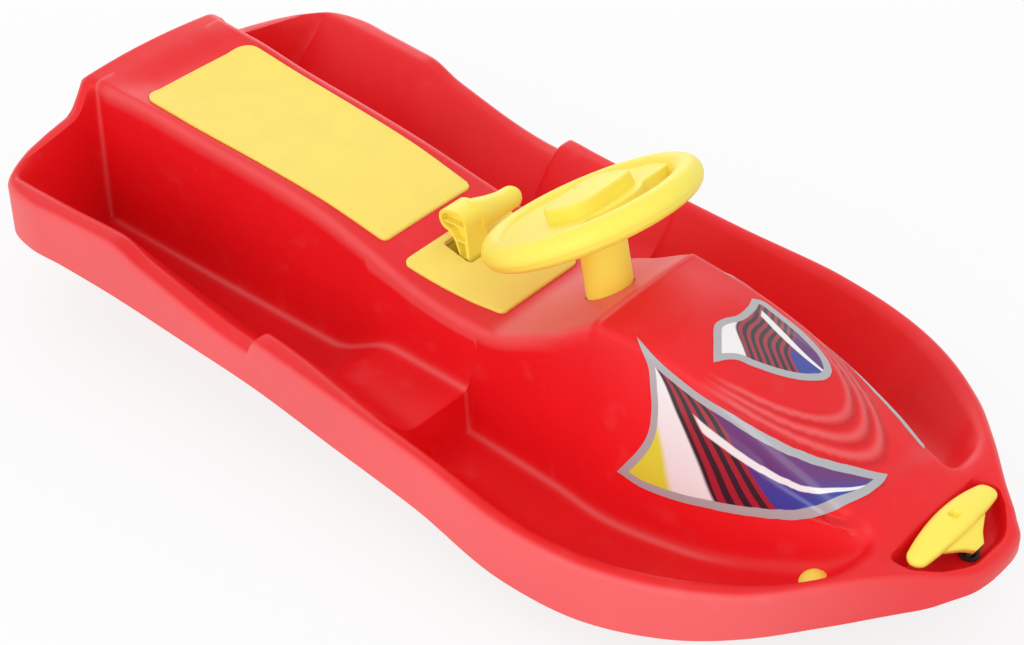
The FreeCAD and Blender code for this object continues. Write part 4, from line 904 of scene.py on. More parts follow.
def printed(name, colours, tips):
    """Printed film: silver border, slanted colour fields and bars on the film's coordinates, clear gloss on top."""
    f = Finish(name, Coat_Weight=0.5, Coat_Roughness=0.12, Roughness=0.32)
    u, v = f.uv("film")
    edge = f.uv("border")[0]
    white, sky, lime = (0.86, 0.86, 0.87), (0.03, 0.22, 0.62), (0.72, 0.74, 0.05)
    slant = u + 0.35 * v
    bars = ((u * 92.0) + (v * 30.0)).sine()
    inner = f.mix(slant.beyond(tips[0] - 0.02, tips[0] + 0.02), lime, white)
    inner = f.mix(slant.beyond(tips[1] - 0.01, tips[1] + 0.01), inner,
                  f.mix(bars.beyond(-0.15, 0.15), colours.crimson, colours.ink))
    inner = f.mix(slant.beyond(tips[2] - 0.01, tips[2] + 0.01), inner,
                  f.mix(v.beyond(0.35, 0.75), colours.blue, (0.12, 0.012, 0.16)))
    ray = (v - 0.55 + 0.4 * (u - tips[2])).size()
    inner = f.mix((1 - ray.beyond(0.03, 0.05)) * slant.beyond(tips[1] + 0.1, tips[1] + 0.12), inner, white)
    streak = (1 - (v - 0.22).size().beyond(0.05, 0.07)) * slant.beyond(tips[2] + 0.1, tips[2] + 0.2)
    inner = f.mix(streak, inner, sky)
    f.feed(Base_Color=f.mix(edge.beyond(0.068, 0.074), colours.silver, inner))
    return f.bump(f.noise(500.0, 2.0), 0.00001).material


def hull_shell(wall):
    """Closed shell: the outer grid, every second point of it set in by the wall along its normal, and two hems."""
    inside = (HULL - grid_normals(HULL) * wall)[::2, ::2]
    inside[[0, -1], :, 1] = 0.0
    rows, columns = HULL.shape[:2]
    shape = Shape().grid(HULL, wrap_columns=False, caps=False)
    small_rows, small_columns = inside.shape[:2]
    i, j = np.arange(small_rows - 1)[:, None], np.arange(small_columns - 1)[None]
    base = rows * columns
    at = base + i * small_columns + j
    back = np.stack([at, at + small_columns, at + small_columns + 1, at + 1], -1).reshape(-1, 4)
    k = np.arange(small_rows - 1)
    faces = back.tolist()
    for column, small, turn in ((0, 0, 1), (columns - 1, small_columns - 1, -1)):
        first, middle, last = (2 * k * columns + column + step * columns for step in (0, 1, 2))
        near, far = base + k * small_columns + small, base + (k + 1) * small_columns + small
        for hem in ((first, middle, near), (middle, far, near), (middle, last, far)):
            faces += np.stack(hem, -1)[:, ::turn].tolist()
    shape.points.append(inside.reshape(-1, 3))
    shape.faces += [tuple(face) for face in faces]
    return shape


def rounded_plan(rear, front, rear_half, front_half, radii, grow=0.0, bow=0.0, count=24):
    """Closed outline of a trapezoid with round rear and front corners, counted from the front left corner.

    Every corner's radius grows by grow, and the rear edge bows out by bow in its middle.
    """
    turn = np.linspace(0, np.pi / 2, count)
    corners = [(front, front_half, 0.0), (rear, rear_half, np.pi / 2), (rear, -rear_half, np.pi),
               (front, -front_half, 1.5 * np.pi)]
    line = []
    for x, y, start in corners:
        corner = radii[0] if x == rear else radii[1]
        mid = np.array([x - math.copysign(corner, x - (rear + front) / 2), y - math.copysign(corner, y)])
        line.append(mid + (corner + grow) * np.stack([np.cos(turn + start), np.sin(turn + start)], -1))
    line = np.concatenate(line)
    closed = np.vstack([line, line[:1]])
    run = np.concatenate([[0], np.cumsum(np.linalg.norm(np.diff(closed, axis=0), axis=1))])
    at = np.linspace(0, run[-1], 8 * count, endpoint=False)
    plan = np.stack([np.interp(at, run, closed[:, k]) for k in (0, 1)], -1)
    fade = 1 - ease(rear, rear + BOW_RUN, plan[:, 0])
    plan[:, 0] -= bow * (1 - (plan[:, 1] / (rear_half + 2 * grow)) ** 2) * fade
    return plan


def on_deck(plan, lift):
    """Plan points set on the saddle's surface and raised by lift."""
    return np.dstack([plan, (deck_height(plan[..., 0], np.abs(plan[..., 1])) + lift)[..., None]])


def pad_rows(outer, inner, proud, crown, sunk, edge):
    """Rows from the inner line over the crowned top, down the rounded edge and back underneath.

    The crown is a quarter sine over the share of the way from the inner line to the outer one.
    """
    shares = np.concatenate([np.linspace(0, 0.9, 22), np.linspace(0.93, 1.0, 6)])
    middle = outer.mean(0)
    out = (outer - middle) / np.linalg.norm(outer - middle, axis=1, keepdims=True)
    drawn = outer - out * edge
    rows = [on_deck(blend(inner, drawn, s)[None], proud + crown * math.cos(s * np.pi / 2)) for s in shares]
    for t in np.linspace(0, np.pi / 2, 6)[1:]:
        rows.append(on_deck((drawn + out * edge * math.sin(t))[None], proud - edge * (1 - math.cos(t))))
    rows.append(on_deck(outer[None], -sunk))
    rows += [on_deck(blend(outer, inner, s)[None], -sunk) for s in np.linspace(0, 1, 16)[1:]]
    return np.concatenate(rows)


def slot_line():
    """Rounded box of the lever's slot, with as many points as the pad's outline and matched to it by direction."""
    rear, front, right, left = SLOT_BOX
    middle = np.array([(rear + front) / 2, (left + right) / 2])
    half = left - middle[1]
    return rounded_plan(rear - middle[0], front - middle[0], half, half, SLOT_CORNERS) + middle


def slot_liner():
    """Three thin walls that line the slot under the pad: behind the lever and on both sides of it."""
    rear, front, right, left = SLOT_BOX
    behind, ahead = rear - LINER_WALL, front + LINER_WALL
    low, middle, high = deck_height(np.array([ahead, rear, behind]), np.zeros(3)) - LINER_LOW
    cheek = [(behind, LINER_FOOT), (ahead, LINER_FOOT), (ahead, low), (behind, high)]
    back = [(behind, LINER_FOOT), (rear, LINER_FOOT), (rear, middle), (behind, high)]
    liner = Shape()
    for y in (right - LINER_WALL, left):
        liner.grid(side_plate(cheek, y, y + LINER_WALL))
    return liner.grid(side_plate(back, right - LINER_WALL / 2, left + LINER_WALL / 2))


def bed_cutter(outer, depth):
    """Block that takes the pad's bed out of the saddle."""
    middle = np.broadcast_to(outer.mean(0), outer.shape)
    shares = np.linspace(1, 0, 14)
    low = [on_deck(blend(middle, outer, s)[None], -depth) for s in shares[::-1]]
    high = [on_deck(blend(middle, outer, s)[None], BED_CLEAR) for s in shares]
    return Shape().grid(np.concatenate(low + high), caps=False)


def bonnet_table():
    """The bonnet as a regular table over station and arc length from the middle line."""
    rows = (HULL[:, 0, 0] > FILM_SPAN[0]) & (HULL[:, 0, 0] < FILM_SPAN[1])
    part = HULL[rows]
    middle = part.shape[1] // 2
    half = part[:, middle:]
    run = np.concatenate([np.zeros((len(half), 1)),
                          np.cumsum(np.linalg.norm(np.diff(half, axis=1), axis=2), axis=1)], 1)
    arcs = np.linspace(0, FILM_ARC, FILM_ARC + 1)
    table = np.stack([np.stack([np.interp(arcs, r, h[:, k]) for k in range(3)], -1)
                      for r, h in zip(run, half)])
    return part[:, middle, 0], arcs, table


def on_bonnet(plan):
    """Points on the bonnet for (x, arc) pairs, by linear interpolation in the table, with their normals."""
    x, arcs, table = bonnet_table()
    far = np.abs(plan[..., 1])
    i = np.clip(np.searchsorted(x, plan[..., 0]) - 1, 0, len(x) - 2)
    j = np.clip(far.astype(int), 0, len(arcs) - 2)
    s = ((plan[..., 0] - x[i]) / (x[i + 1] - x[i]))[..., None]
    t = (far - arcs[j])[..., None]
    point = blend(blend(table[i, j], table[i + 1, j], s), blend(table[i, j + 1], table[i + 1, j + 1], s), t)
    point[..., 1] *= np.where(plan[..., 1] > 0, -1.0, 1.0)
    normal = np.cross(np.gradient(point, axis=1), np.gradient(point, axis=0))
    normal /= np.linalg.norm(normal, axis=2, keepdims=True) + 1e-9
    return point, normal * np.where(normal[..., 2:] < 0, -1.0, 1.0)


def film(name, lines, material, lift, rows=140, columns=96):
    """Thin film: a Coons patch between its rear, upper and lower lines and a tip, laid on the bonnet.

    S = (1-v) lower(u) + v upper(u) + (1-u) rear(v) + u tip - the bilinear surface of the corners.
    """
    counts = {"rear": columns, "upper": rows, "lower": rows}
    rear, upper, lower = (smooth_line(lines[k], n) for k, n in counts.items())
    u, v = np.linspace(0, 1, rows)[:, None, None], np.linspace(0, 1, columns)[None, :, None]
    tip = upper[-1]
    plan = ((1 - v) * lower[:, None] + v * upper[:, None] + (1 - u) * rear[None] + u * tip
            - (1 - u) * ((1 - v) * rear[0] + v * rear[-1]) - u * tip)
    rim = np.concatenate([rear, upper, lower])
    flat = plan.reshape(-1, 2)
    near = np.concatenate([np.linalg.norm(flat[k:k + POINT_BLOCK, None] - rim[None], axis=2).min(1)
                           for k in range(0, len(flat), POINT_BLOCK)])
    point, normal = on_bonnet(plan)
    shape = Shape().grid(point + normal * lift, wrap_columns=False, caps=False)
    under = point - normal * lift
    base, size = shape.count, rows * columns
    shape.add(under, [])
    order = np.arange(size).reshape(rows, columns)
    loop = np.concatenate([order[:, 0], order[-1, 1:], order[-2::-1, -1], order[0, -2:0:-1]])
    on = np.roll(loop, -1)
    shape.faces += [tuple(f) for f in np.stack([loop, on, on + base, loop + base], -1).tolist()]
    shape.faces += [tuple(v + base for v in face[::-1]) for face in shape.faces[:(rows - 1) * (columns - 1)]]
    data = bpy.data.meshes.new(name)
    data.from_pydata((np.concatenate(shape.points) * MM).tolist(), [], shape.faces)
    corner = np.empty(len(data.loops), int)
    data.loops.foreach_get("vertex_index", corner)
    across = np.broadcast_arrays(u[..., 0], v[..., 0])
    for layer, pair in (("film", (across[0].ravel(), across[1].ravel())),
                        ("border", (near / FILM_BORDER_UNIT, near * 0))):
        values = np.tile(np.stack(pair, -1), (2, 1))[corner]
        data.uv_layers.new(name=layer).data.foreach_set("uv", values.ravel())
    work = bmesh.new()
    work.from_mesh(data)
    bmesh.ops.remove_doubles(work, verts=work.verts, dist=2e-6)
    bmesh.ops.recalc_face_normals(work, faces=work.faces)
    work.to_mesh(data)
    work.free()
    return dressed(placed(name, data), material, "sled", ())


def lean_frame(degrees):
    """Forward, left and up directions of a piece that is tipped back."""
    tip = math.radians(degrees)
    up = np.array([-math.sin(tip), 0.0, math.cos(tip)])
    return np.array([math.cos(tip), 0.0, math.sin(tip)]), np.array([0.0, 1.0, 0.0]), up


FINISHES = {}


def finish(name):
    """The named finish, made once."""
    if name not in FINISHES:
        c = bpy.context.scene.sled_colours
        makers = {
            "red_moulding": lambda: moulded("red_moulding", c.red, 0.4, shine=0.32, crescents=LEDGES),
            "yellow_moulding": lambda: moulded("yellow_moulding", c.yellow, 0.44, shine=0.4),
            "dark_moulding": lambda: moulded("dark_moulding", c.black, 0.5, 0.00008, 500.0),
            "pad_foam": lambda: foam("pad_foam", c.foam),
            "zinc_steel": lambda: brushed("zinc_steel", c.steel),
            "cord_braid": lambda: braid("cord_braid", c.cord),
            "side_print": lambda: printed("side_print", c, (0.2, 0.36, 0.62)),
            "shield_print": lambda: printed("shield_print", c, (0.02, 0.3, 0.75)),
        }
        FINISHES[name] = makers[name]()
    return FINISHES[name]


class SLED_OT_hull(bpy.types.Operator):
    """Hull shell with beds for the pads and holes for the lever, column and cord"""
    bl_idname = "sled.hull"
    bl_label = "Hull"

    def execute(self, context):
        sizes = context.scene.sled_sizes
        obj = placed("hull_shell", hull_shell(sizes.wall / MM).mesh("hull_shell", recalculate=False))
        radius, up = COLUMN_RADIUS + COLUMN_GAP, lean_frame(COLUMN_LEAN)[2]
        hole = turned([(radius, -COLUMN_CUT), (radius, COLUMN_CUT)], COLUMN_FOOT, up)
        rear, front, right, far = np.array(SLOT_BOX) + LINER_WALL * np.array([-1, 1, -1, 1])
        foot, depth = SLOT_CUT
        slot = prism([(x, y, foot) for x, y in ((rear, right), (front, right), (front, far), (rear, far))],
                     (0, 0, depth))
        cord_hole = turned([(CORD_HOLE, -CORD_CUT), (CORD_HOLE, CORD_CUT)], EYELET, (0, 0, 1), 32)
        cutters = [bed_cutter(rounded_plan(*SEAT_PLAN, SEAT_CORNERS, BED_GAP, SEAT_BOW), BED_DEPTH),
                   bed_cutter(rounded_plan(*FRONT_PLAN, FRONT_CORNERS, BED_GAP), BED_DEPTH)]
        cutters += [Shape().grid(g) for g in (hole, slot, cord_hole)]
        cut_out(obj, cutters)
        places = np.empty(3 * len(obj.data.vertices))
        obj.data.vertices.foreach_get("co", places)
        # painted pale sheen and highlights at each point of the hull
        painted_sheen = obj.data.attributes.new("painted_sheen", "FLOAT", "POINT")
        painted_sheen.data.foreach_set("value", painted_sheen_share(places.reshape(-1, 3) / MM))
        dressed(obj, finish("red_moulding"), "sled", ["hull"])
        return {"FINISHED"}


def runner_rib(side):
    """Rib under a well: at each station a loop from the floor's underside down to the rounded sole and back."""
    x = np.unique(np.concatenate([np.linspace(-484, 306, 120), STEP_X + np.linspace(-1, STEP_RUN + 1, 8)]))
    floor = blend(along(REAR_FLOOR, x), along(FRONT_FLOOR, x), ease(STEP_X, STEP_X + STEP_RUN, x)) - RUNNER_SUNK
    sole = np.interp(x, *np.array(RUNNER_SOLE).T)
    floor = np.maximum(floor, sole + RUNNER_LEAST)
    (inner, outer), edge = RUNNER_SIDES, RUNNER_EDGE
    loop = [(inner, floor), (inner, sole + edge), (inner + edge, sole), (outer - edge, sole),
            (outer, sole + edge), (outer, floor)]
    return np.stack([np.stack([x, np.full_like(x, side * y), z], -1) for y, z in loop], 1)


class SLED_OT_underside(bpy.types.Operator):
    """Runner ribs, bearing bosses, shelf, brake cheeks, reel keel and plug seats under the hull"""
    bl_idname = "sled.underside"
    bl_label = "Underside"

    def execute(self, context):
        column_up = lean_frame(COLUMN_LEAN)[2]
        under = Shape()
        for side in (1, -1):
            under.grid(runner_rib(side))
            under.grid(side_plate(CHEEK, side * CHEEK_SIDES[0], side * CHEEK_SIDES[1]))
            under.grid(side_plate(KEEL, side * KEEL_SIDES[0], side * KEEL_SIDES[1]))
            seat = turned(PLUG_SEAT, (PLUG[0], side * PLUG[1], PLUG[2]), (0, 0, 1), 48)
            under.grid(seat, caps=False)
        inside = KEEL_SIDES[0] + KEEL_LAP
        under.grid(side_plate([KEEL[1], KEEL[2], KEEL[2] - KEEL_FRONT, KEEL[1] - KEEL_FRONT], -inside, inside))
        under.grid(side_plate([KEEL[0], KEEL[0] + KEEL_REAR, KEEL[5] + KEEL_REAR_TOP, KEEL[5]], -inside, inside))
        middle = COLUMN_FOOT + column_up * (SHELF_FOOT - COLUMN_FOOT[2]) / column_up[2]
        shelf = [(middle[0] + SHELF_HALF * a, SHELF_SIDE * b, SHELF_FOOT)
                 for a, b in ((-1, -1), (1, -1), (1, 1), (-1, 1))]
        under.grid(prism(shelf, (0, 0, SHELF_THICK)))
        for foot, ring in ((middle, LOWER_BEARING), (COLUMN_FOOT, UPPER_BEARING)):
            under.grid(turned(ring, foot, column_up, 64), wrap_rows=True)
        under.piece("underside_ribs", finish("red_moulding"), "sled", "red_plastic", ["hull"])
        return {"FINISHED"}


class SLED_OT_pads(bpy.types.Operator):
    """Foam pads let into the saddle, and the liner of the lever's slot"""
    bl_idname = "sled.pads"
    bl_label = "Seat pads"

    def execute(self, context):
        sizes = context.scene.sled_sizes
        proud, crown = sizes.pad_proud / MM, sizes.pad_crown / MM
        outer = rounded_plan(*SEAT_PLAN, SEAT_CORNERS, bow=SEAT_BOW)
        middle = np.broadcast_to(outer.mean(0), outer.shape)
        rows = pad_rows(outer, middle, proud, crown, PAD_SUNK, PAD_EDGE)
        seat = Shape().grid(rows, caps=False)
        seat = seat.piece("seat_foam", finish("pad_foam"), "sled", "yellow_foam", ["seat_pad"])
        outer = rounded_plan(*FRONT_PLAN, FRONT_CORNERS)
        rows = pad_rows(outer, slot_line(), proud, crown, PAD_SUNK, PAD_EDGE)
        front = Shape().grid(rows, wrap_rows=True)
        front = front.piece("front_foam", finish("pad_foam"), "sled", "yellow_foam", ["front_pad"])
        slot_liner().piece("slot_liner", finish("pad_foam"), "sled", "yellow_foam", ["front_pad"])
        return {"FINISHED"}


class SLED_OT_wheel(bpy.types.Operator):
    """Steering wheel with its rim, web, raised hub block and column"""
    bl_idname = "sled.wheel"
    bl_label = "Wheel and column"

    def execute(self, context):
        tube = context.scene.sled_sizes.ring_tube / MM
        column_up = lean_frame(COLUMN_LEAN)[2]
        middle = COLUMN_FOOT + column_up * WHEEL_RISE
        forward, left, up = lean_frame(WHEEL_TILT)
        frame_of = np.stack([forward, left, up])
        wheel = Shape()
        turn, round_turn = np.linspace(0, 2 * np.pi, 129)[:-1, None], np.linspace(0, 2 * np.pi, 65)[None, :-1]
        section = tube * (1 - SEAM_DEPTH * np.exp(-((round_turn - SEAM_TURN) / SEAM_WIDTH) ** 2))
        radius = RING_RADIUS + section * np.cos(round_turn)
        ring = (radius * np.cos(turn), radius * np.sin(turn), section * np.sin(round_turn))
        ring = np.stack(np.broadcast_arrays(*ring), -1)
        ring_middle = middle - forward * RING_BACK
        wheel.grid(ring_middle + ring @ frame_of, wrap_rows=True)
        angle = np.linspace(-np.pi, np.pi, 181)[:-1]
        shut = ease(WEB_OPEN - WEB_TURN, WEB_OPEN + WEB_TURN, np.degrees(np.abs(angle)))
        reach = blend(HUB_RADIUS, RING_RADIUS, shut)
        rows = []
        for share, height, inset in plate_rows(WEB_HALF, WEB_EDGE):
            r = (reach - inset) * share
            rows.append(np.stack([r * np.cos(angle), r * np.sin(angle), np.full_like(r, height)], -1))
        wheel.grid(ring_middle + up * WEB_LIFT + np.stack(rows) @ frame_of, caps=False)
        wheel.grid(middle + hub_block() @ frame_of, caps=False)
        wheel.piece("wheel_moulding", finish("yellow_moulding"), "steering", "yellow_plastic",
                    ["steering_wheel", "hub_cover"])
        column = Shape().grid(turned(COLUMN_PROFILE, COLUMN_FOOT, column_up, 72), caps=False)
        column.grid(turned(SPIGOT_PROFILE, COLUMN_FOOT, column_up, 48), caps=False)
        column.piece("column_moulding", finish("yellow_moulding"), "steering", "yellow_plastic",
                     ["steering_column"])
        return {"FINISHED"}


def plate_rows(half, edge):
    """(share of the radius, height, inset) rows of a plate with rounded edges, from its top pole to its bottom."""
    rows = [(s, half, edge) for s in np.linspace(0, 1, 12)]
    rows += [(1.0, half - edge * (1 - math.cos(t)), edge * (1 - math.sin(t)))
             for t in np.linspace(0, np.pi / 2, 6)[1:]]
    rows += [(1.0, -h, i) for s, h, i in rows[:11:-1]]
    return rows + [(s, -half, edge) for s in np.linspace(1, 0, 12)]


def hub_block():
    """Raised block on the hub: superellipse walls, a rounded top edge and a slightly crowned top."""
    c, s = circle(96)
    a = np.sign(c) * np.abs(c) ** (2 / BLOCK_POWER) * BLOCK_HALF[0] - BLOCK_BACK
    b = np.sign(s) * np.abs(s) ** (2 / BLOCK_POWER) * BLOCK_HALF[1]
    rows = [(0.0, BLOCK_FOOT), (0.9, BLOCK_FOOT), (1.03, BLOCK_FOOT), (1.0, BLOCK_WALL)]
    rows += [(1 - BLOCK_DRAW * (1 - math.cos(t)), BLOCK_WALL + BLOCK_EDGE * math.sin(t))
             for t in np.linspace(0, np.pi / 2, 7)[1:]]
    rows += [(f, BLOCK_WALL + BLOCK_EDGE + BLOCK_CROWN * (1 - f)) for f in (0.85, 0.6, 0.3, 0.0)]
    return np.stack([np.stack([a * share, b * share, np.full_like(a, height)], -1) for share, height in rows])


class SLED_OT_brake(bpy.types.Operator):
    """Brake lever: pocketed stem with ribs, shield under the slot, hand grip, gusset, hub and arm"""
    bl_idname = "sled.brake"
    bl_label = "Brake lever"

    def execute(self, context):
        grip = context.scene.sled_sizes.grip / MM
        forward, left, up = lean_frame(LEVER_LEAN)
        side = np.stack([forward, up])
        lever = Shape()
        outer, pocket = cut_corners(STEM_SIDE), cut_corners(STEM_POCKET)
        walls = [(outer, STEM_LEFT), (outer, STEM_RIGHT), (pocket, STEM_RIGHT), (pocket, STEM_RIGHT + POCKET_DEPTH)]
        lever.grid(np.stack([PIVOT + line @ side + y * left for line, y in walls]))
        for f0, u0, f1, u1 in STEM_RIBS:
            rib = np.array([(f0, u0 - RIB_HALF), (f1, u1 - RIB_HALF), (f1, u1 + RIB_HALF), (f0, u0 + RIB_HALF)])
            lever.grid(prism(PIVOT + rib @ side + (STEM_RIGHT + RIB_SUNK) * left, left * POCKET_DEPTH))
        turn = np.radians(np.linspace(*SHIELD_TURN, 20))[:, None]
        arc = np.cos(turn) * up - np.sin(turn) * forward
        over, under, (one, other) = SHIELD_RADIUS, SHIELD_RADIUS - SHIELD_THICK, SHIELD_SIDES
        shield = [PIVOT + arc * r + y * left for r, y in ((over, one), (over, other), (under, other), (under, one))]
        lever.grid(np.stack(shield, 1))
        quarter = np.linspace(0, np.pi / 2, 10)
        y = np.concatenate([np.linspace(*GRIP_RUN, 30), GRIP_END + grip * np.sin(quarter)])
        swell = along(GRIP_SWELL, y)
        r = swell * np.concatenate([np.full(30, grip), grip * np.cos(quarter) + 0.01])
        head = PIVOT + up * LEVER_REACH
        middles = head + y[:, None] * left + ((swell - 1) * grip)[:, None] * (up - 0.5 * forward)
        lever.grid(swept(middles, forward, up, r, r, GRIP_POWER, 48))
        gusset = np.array([head + left * a + up * b for a, b in GUSSET])
        lever.grid(prism(gusset - forward * GUSSET_HALF, forward * 2 * GUSSET_HALF))
        lever.grid(turned(LEVER_HUB, PIVOT, left, 48), wrap_rows=True)
        length = np.linalg.norm(ARM_END - PIVOT)
        way = (ARM_END - PIVOT) / length
        t = np.linspace(ARM_START, length, 12)
        lever.grid(swept(PIVOT + t[:, None] * way, left, np.cross(way, left), ARM_WIDTH, ARM_HEIGHT, ARM_POWER, 40))
        lever.piece("lever_moulding", finish("yellow_moulding"), "brake", "yellow_plastic", ["brake_lever"])
        return {"FINISHED"}


class SLED_OT_tow(bpy.types.Operator):
    """Tow handle, its cord and the cord's turns on the spool"""
    bl_idname = "sled.tow"
    bl_label = "Tow handle and cord"

    def execute(self, context):
        y = HANDLE_HALF * np.sin(np.linspace(-np.pi / 2, np.pi / 2, 141))
        share = np.abs(y) / HANDLE_HALF
        z = HANDLE_MID_Z - (HANDLE_MID_Z - HANDLE_END_Z) * share ** 2
        past = np.clip((np.abs(y) - HANDLE_HALF + HANDLE_END) / (HANDLE_END + 0.01), 0, 1)
        taper = (1 - HANDLE_TAPER * share ** 2) * np.sqrt(np.clip(1 - past ** 2, 1e-4, 1))
        places = np.stack([np.full_like(y, HANDLE_X), y, z], -1)
        bar = swept(places, (1, 0, 0), (0, 0, 1), HANDLE_WIDTH * taper, HANDLE_HEIGHT * taper, HANDLE_POWER, 72)
        dimple = DIMPLE_DEPTH * (1 - ease(*DIMPLE_RIM, np.hypot(bar[..., 0] - HANDLE_X, bar[..., 1])))
        bar[..., 2] -= np.where(bar[..., 2] > z[:, None] + DIMPLE_TOP, dimple, 0.0)
        handle = Shape().grid(bar)
        tip = EYELET + PULL * CORD_SHOWN
        start = np.array([HANDLE_X, 0.0, HANDLE_MID_Z - 1.0])
        way = tip - start
        t = np.linspace(0, 1, 16)
        normal = np.cross(way / np.linalg.norm(way), (0, 1, 0))
        handle.grid(swept(start + t[:, None] * way, (0, 1, 0), normal, np.interp(t, *HANDLE_WEB),
                          np.interp(t, *HANDLE_WEB_HEIGHT), HANDLE_WEB_POWER, 40))
        handle.piece("handle_moulding", finish("yellow_moulding"), "tow", "yellow_plastic", ["tow_handle"])
        low, high = EYELET - PULL * CORD_HIDDEN, EYELET + PULL * (CORD_SHOWN + CORD_SUNK)
        curve = bpy.data.curves.new("tow_cord_braid", "CURVE")
        curve.dimensions, curve.bevel_depth, curve.bevel_resolution = "3D", CORD_RADIUS * MM, 4
        curve.use_fill_caps = True
        spline = curve.splines.new("NURBS")
        route = [low + (high - low) * share for share in CORD_ROUTE]
        spline.points.add(len(route) - 1)
        spline.points.foreach_set("co", np.hstack([np.array(route) * MM, np.ones((len(route), 1))]).ravel())
        spline.order_u = 3
        spline.use_endpoint_u = True
        cord = placed("tow_cord_braid", curve)
        curve.materials.append(finish("cord_braid"))
        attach(cord, "tow")
        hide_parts("tow_cord")
        bulge = np.linspace(0, np.pi, 9)
        out = TURN_CORE + TURN_BULGE * np.sin(bulge)
        turns = np.concatenate([np.stack([out, k * TURN_PITCH - SPOOL_HALF + 1.0 - np.cos(bulge)], -1)
                                for k in range(TURNS)])
        profile = np.vstack([[(SPOOL_CORE, -SPOOL_HALF)], turns, [(SPOOL_CORE, SPOOL_HALF)]])
        winding = Shape().grid(turned(profile, SPOOL, (0, 1, 0), 64), wrap_rows=True)
        winding.piece("cord_turns", finish("cord_braid"), "spool", "cord", ["cord_winding"])
        return {"FINISHED"}


class SLED_OT_plugs(bpy.types.Operator):
    """Domed plugs in the front gutters"""
    bl_idname = "sled.plugs"
    bl_label = "Gutter plugs"

    def execute(self, context):
        bulge = (PLUG_RADIUS ** 2 + PLUG_HEIGHT ** 2) / (2 * PLUG_HEIGHT)
        t = np.linspace(0, math.asin(PLUG_RADIUS / bulge), 16)
        dome = np.stack([bulge * np.sin(t), PLUG_HEIGHT - bulge * (1 - np.cos(t))], -1)
        profile = np.vstack([dome, PLUG_SHANK])
        plugs = Shape()
        for side in (1, -1):
            plugs.grid(turned(profile, (PLUG[0], side * PLUG[1], PLUG[2]), (0, 0, 1), 48), caps=False)
        plugs.piece("plug_domes", finish("yellow_moulding"), "sled", "yellow_plastic", ["gutter_plugs"])
        return {"FINISHED"}


class SLED_OT_films(bpy.types.Operator):
    """Printed films on the bonnet"""
    bl_idname = "sled.films"
    bl_label = "Printed films"

    def execute(self, context):
        lift = context.scene.sled_sizes.film / MM
        film("side_film_right", SIDE_FILM, finish("side_print"), lift)
        film("side_film_left", FAR_FILM, finish("side_print"), lift)
        film("shield_film", SHIELD_FILM, finish("shield_print"), lift)
        return {"FINISHED"}


class SLED_OT_fittings(bpy.types.Operator):
    """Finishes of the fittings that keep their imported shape"""
    bl_idname = "sled.fittings"
    bl_label = "Fittings"

    def execute(self, context):
        dark = ["upper_bush", "lower_bush", "front_ski", "cord_eyelet", "reel_case", "reel_cover", "reel_spool"]
        for name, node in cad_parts.items():
            node.data.materials.clear()
            node.data.materials.append(finish("dark_moulding" if name in dark else "zinc_steel"))
        return {"FINISHED"}


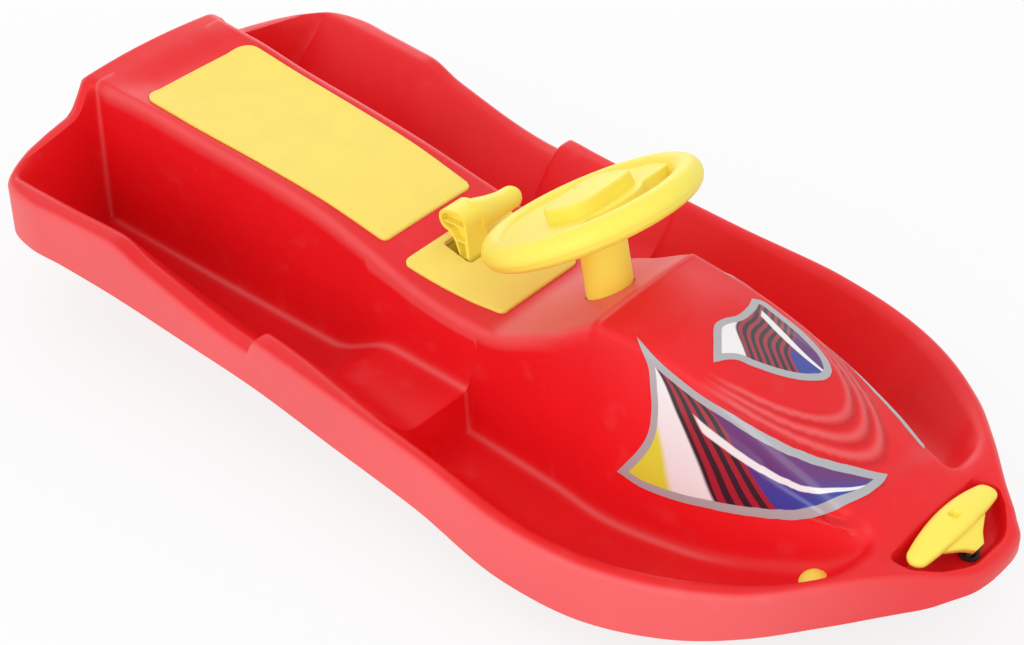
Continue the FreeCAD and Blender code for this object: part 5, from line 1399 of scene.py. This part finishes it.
class SLED_OT_stage(bpy.types.Operator):
    """Floor, soft studio light, white background and the camera"""
    bl_idname = "sled.stage"
    bl_label = "Stage"

    def execute(self, context):
        scene, s = context.scene, context.scene.sled_stage
        scene.view_settings.view_transform = "Standard"
        camera = bpy.data.cameras.new("camera")
        camera.lens, camera.sensor_width = s.lens, SENSOR
        eye = placed("camera", camera)
        level = math.cos(s.elevation)
        back = Vector((math.sin(s.azimuth) * level, -math.cos(s.azimuth) * level, math.sin(s.elevation)))
        eye.location = TARGET + back * s.distance
        eye.rotation_euler = back.to_track_quat("Z", "Y").to_euler()
        scene.camera = eye
        self.world(scene, s.world)
        self.floor()
        for name, place, size, power in (("sheen_box", SHEEN_PLACE, SHEEN_SIZE, s.sheen),
                                         ("key_light", KEY_PLACE, KEY_SIZE, s.key)):
            lamp = bpy.data.lights.new(name, "AREA")
            lamp.shape, lamp.size, lamp.energy = "SQUARE", size, power
            obj = placed(name, lamp)
            obj.location = place
            obj.rotation_euler = (Vector(place) - TARGET).to_track_quat("Z", "Y").to_euler()
        return {"FINISHED"}

    def world(self, scene, level):
        """White to the camera and in reflections, dimmer as a light."""
        world = bpy.data.worlds.new("studio")
        scene.world = world
        world.use_nodes = True
        tree = world.node_tree
        tree.nodes.clear()
        path, out = tree.nodes.new("ShaderNodeLightPath"), tree.nodes.new("ShaderNodeOutputWorld")
        seen, lit = tree.nodes.new("ShaderNodeBackground"), tree.nodes.new("ShaderNodeBackground")
        mix = tree.nodes.new("ShaderNodeMixShader")
        seen.inputs["Color"].default_value = (1, 1, 1, 1)
        lit.inputs["Color"].default_value = (1, 1, 1, 1)
        lit.inputs["Strength"].default_value = level
        shown = path.outputs["Is Camera Ray"]
        for other in ("Is Glossy Ray", "Is Transmission Ray"):
            most = tree.nodes.new("ShaderNodeMath")
            most.operation = "MAXIMUM"
            tree.links.new(shown, most.inputs[0])
            tree.links.new(path.outputs[other], most.inputs[1])
            shown = most.outputs[0]
        tree.links.new(shown, mix.inputs[0])
        tree.links.new(lit.outputs[0], mix.inputs[1])
        tree.links.new(seen.outputs[0], mix.inputs[2])
        tree.links.new(mix.outputs[0], out.inputs[0])

    def floor(self):
        """White floor under the sled, brightened for the camera and in reflections."""
        data = bpy.data.meshes.new("floor")
        low, h = CAD_BOX[0][2], FLOOR_HALF
        data.from_pydata([(-h, -h, low), (h, -h, low), (h, h, low), (-h, h, low)], [], [(0, 1, 2, 3)])
        obj = placed("floor", data)
        f = Finish("white_floor", Roughness=0.9, Base_Color=(FLOOR_GREY, FLOOR_GREY, FLOOR_GREY, 1))
        glow = f.tree.nodes.new("ShaderNodeEmission")
        path = f.node("ShaderNodeLightPath", output="Is Camera Ray")
        gloss = Value(f, path.socket.node.outputs["Is Glossy Ray"])
        mix = f.tree.nodes.new("ShaderNodeMixShader")
        f.tree.links.new((path * FLOOR_GLOW + gloss * FLOOR_GLOW).socket, mix.inputs[0])
        f.tree.links.new(f.surface.outputs[0], mix.inputs[1])
        f.tree.links.new(glow.outputs[0], mix.inputs[2])
        f.tree.links.new(mix.outputs[0], f.tree.nodes["Material Output"].inputs[0])
        data.materials.append(f.material)


OPERATORS = [
    SLED_OT_stage, SLED_OT_hull, SLED_OT_underside, SLED_OT_pads, SLED_OT_wheel, SLED_OT_brake, SLED_OT_tow,
    SLED_OT_plugs, SLED_OT_films, SLED_OT_fittings,
]


class SLED_PT_panel(bpy.types.Panel):
    """Lists the sled's pieces"""
    bl_idname = "SLED_PT_panel"
    bl_label = "Steering sled"
    bl_space_type = "VIEW_3D"
    bl_region_type = "UI"
    bl_category = "Sled"

    def draw(self, context):
        for group in ("sled_sizes", "sled_colours", "sled_stage"):
            holder = getattr(context.scene, group)
            box = self.layout.box()
            for key in holder.bl_rna.properties.keys():
                if key not in ("rna_type", "name"):
                    box.prop(holder, key)
        for kind in OPERATORS:
            self.layout.operator(kind.bl_idname)


GROUPS = {"sled_sizes": SledSizes, "sled_colours": SledColours, "sled_stage": SledStage}


def register():
    for kind in [*GROUPS.values(), *OPERATORS, SLED_PT_panel]:
        bpy.utils.register_class(kind)
    for name, kind in GROUPS.items():
        setattr(bpy.types.Scene, name, PointerProperty(type=kind))


def unregister():
    for name in GROUPS:
        delattr(bpy.types.Scene, name)
    for kind in [SLED_PT_panel, *reversed(OPERATORS), *GROUPS.values()]:
        bpy.utils.unregister_class(kind)


def main():
    register()
    for kind in OPERATORS:
        area, name = kind.bl_idname.split(".")
        getattr(getattr(bpy.ops, area), name)()


if __name__ == "__main__":
    main()
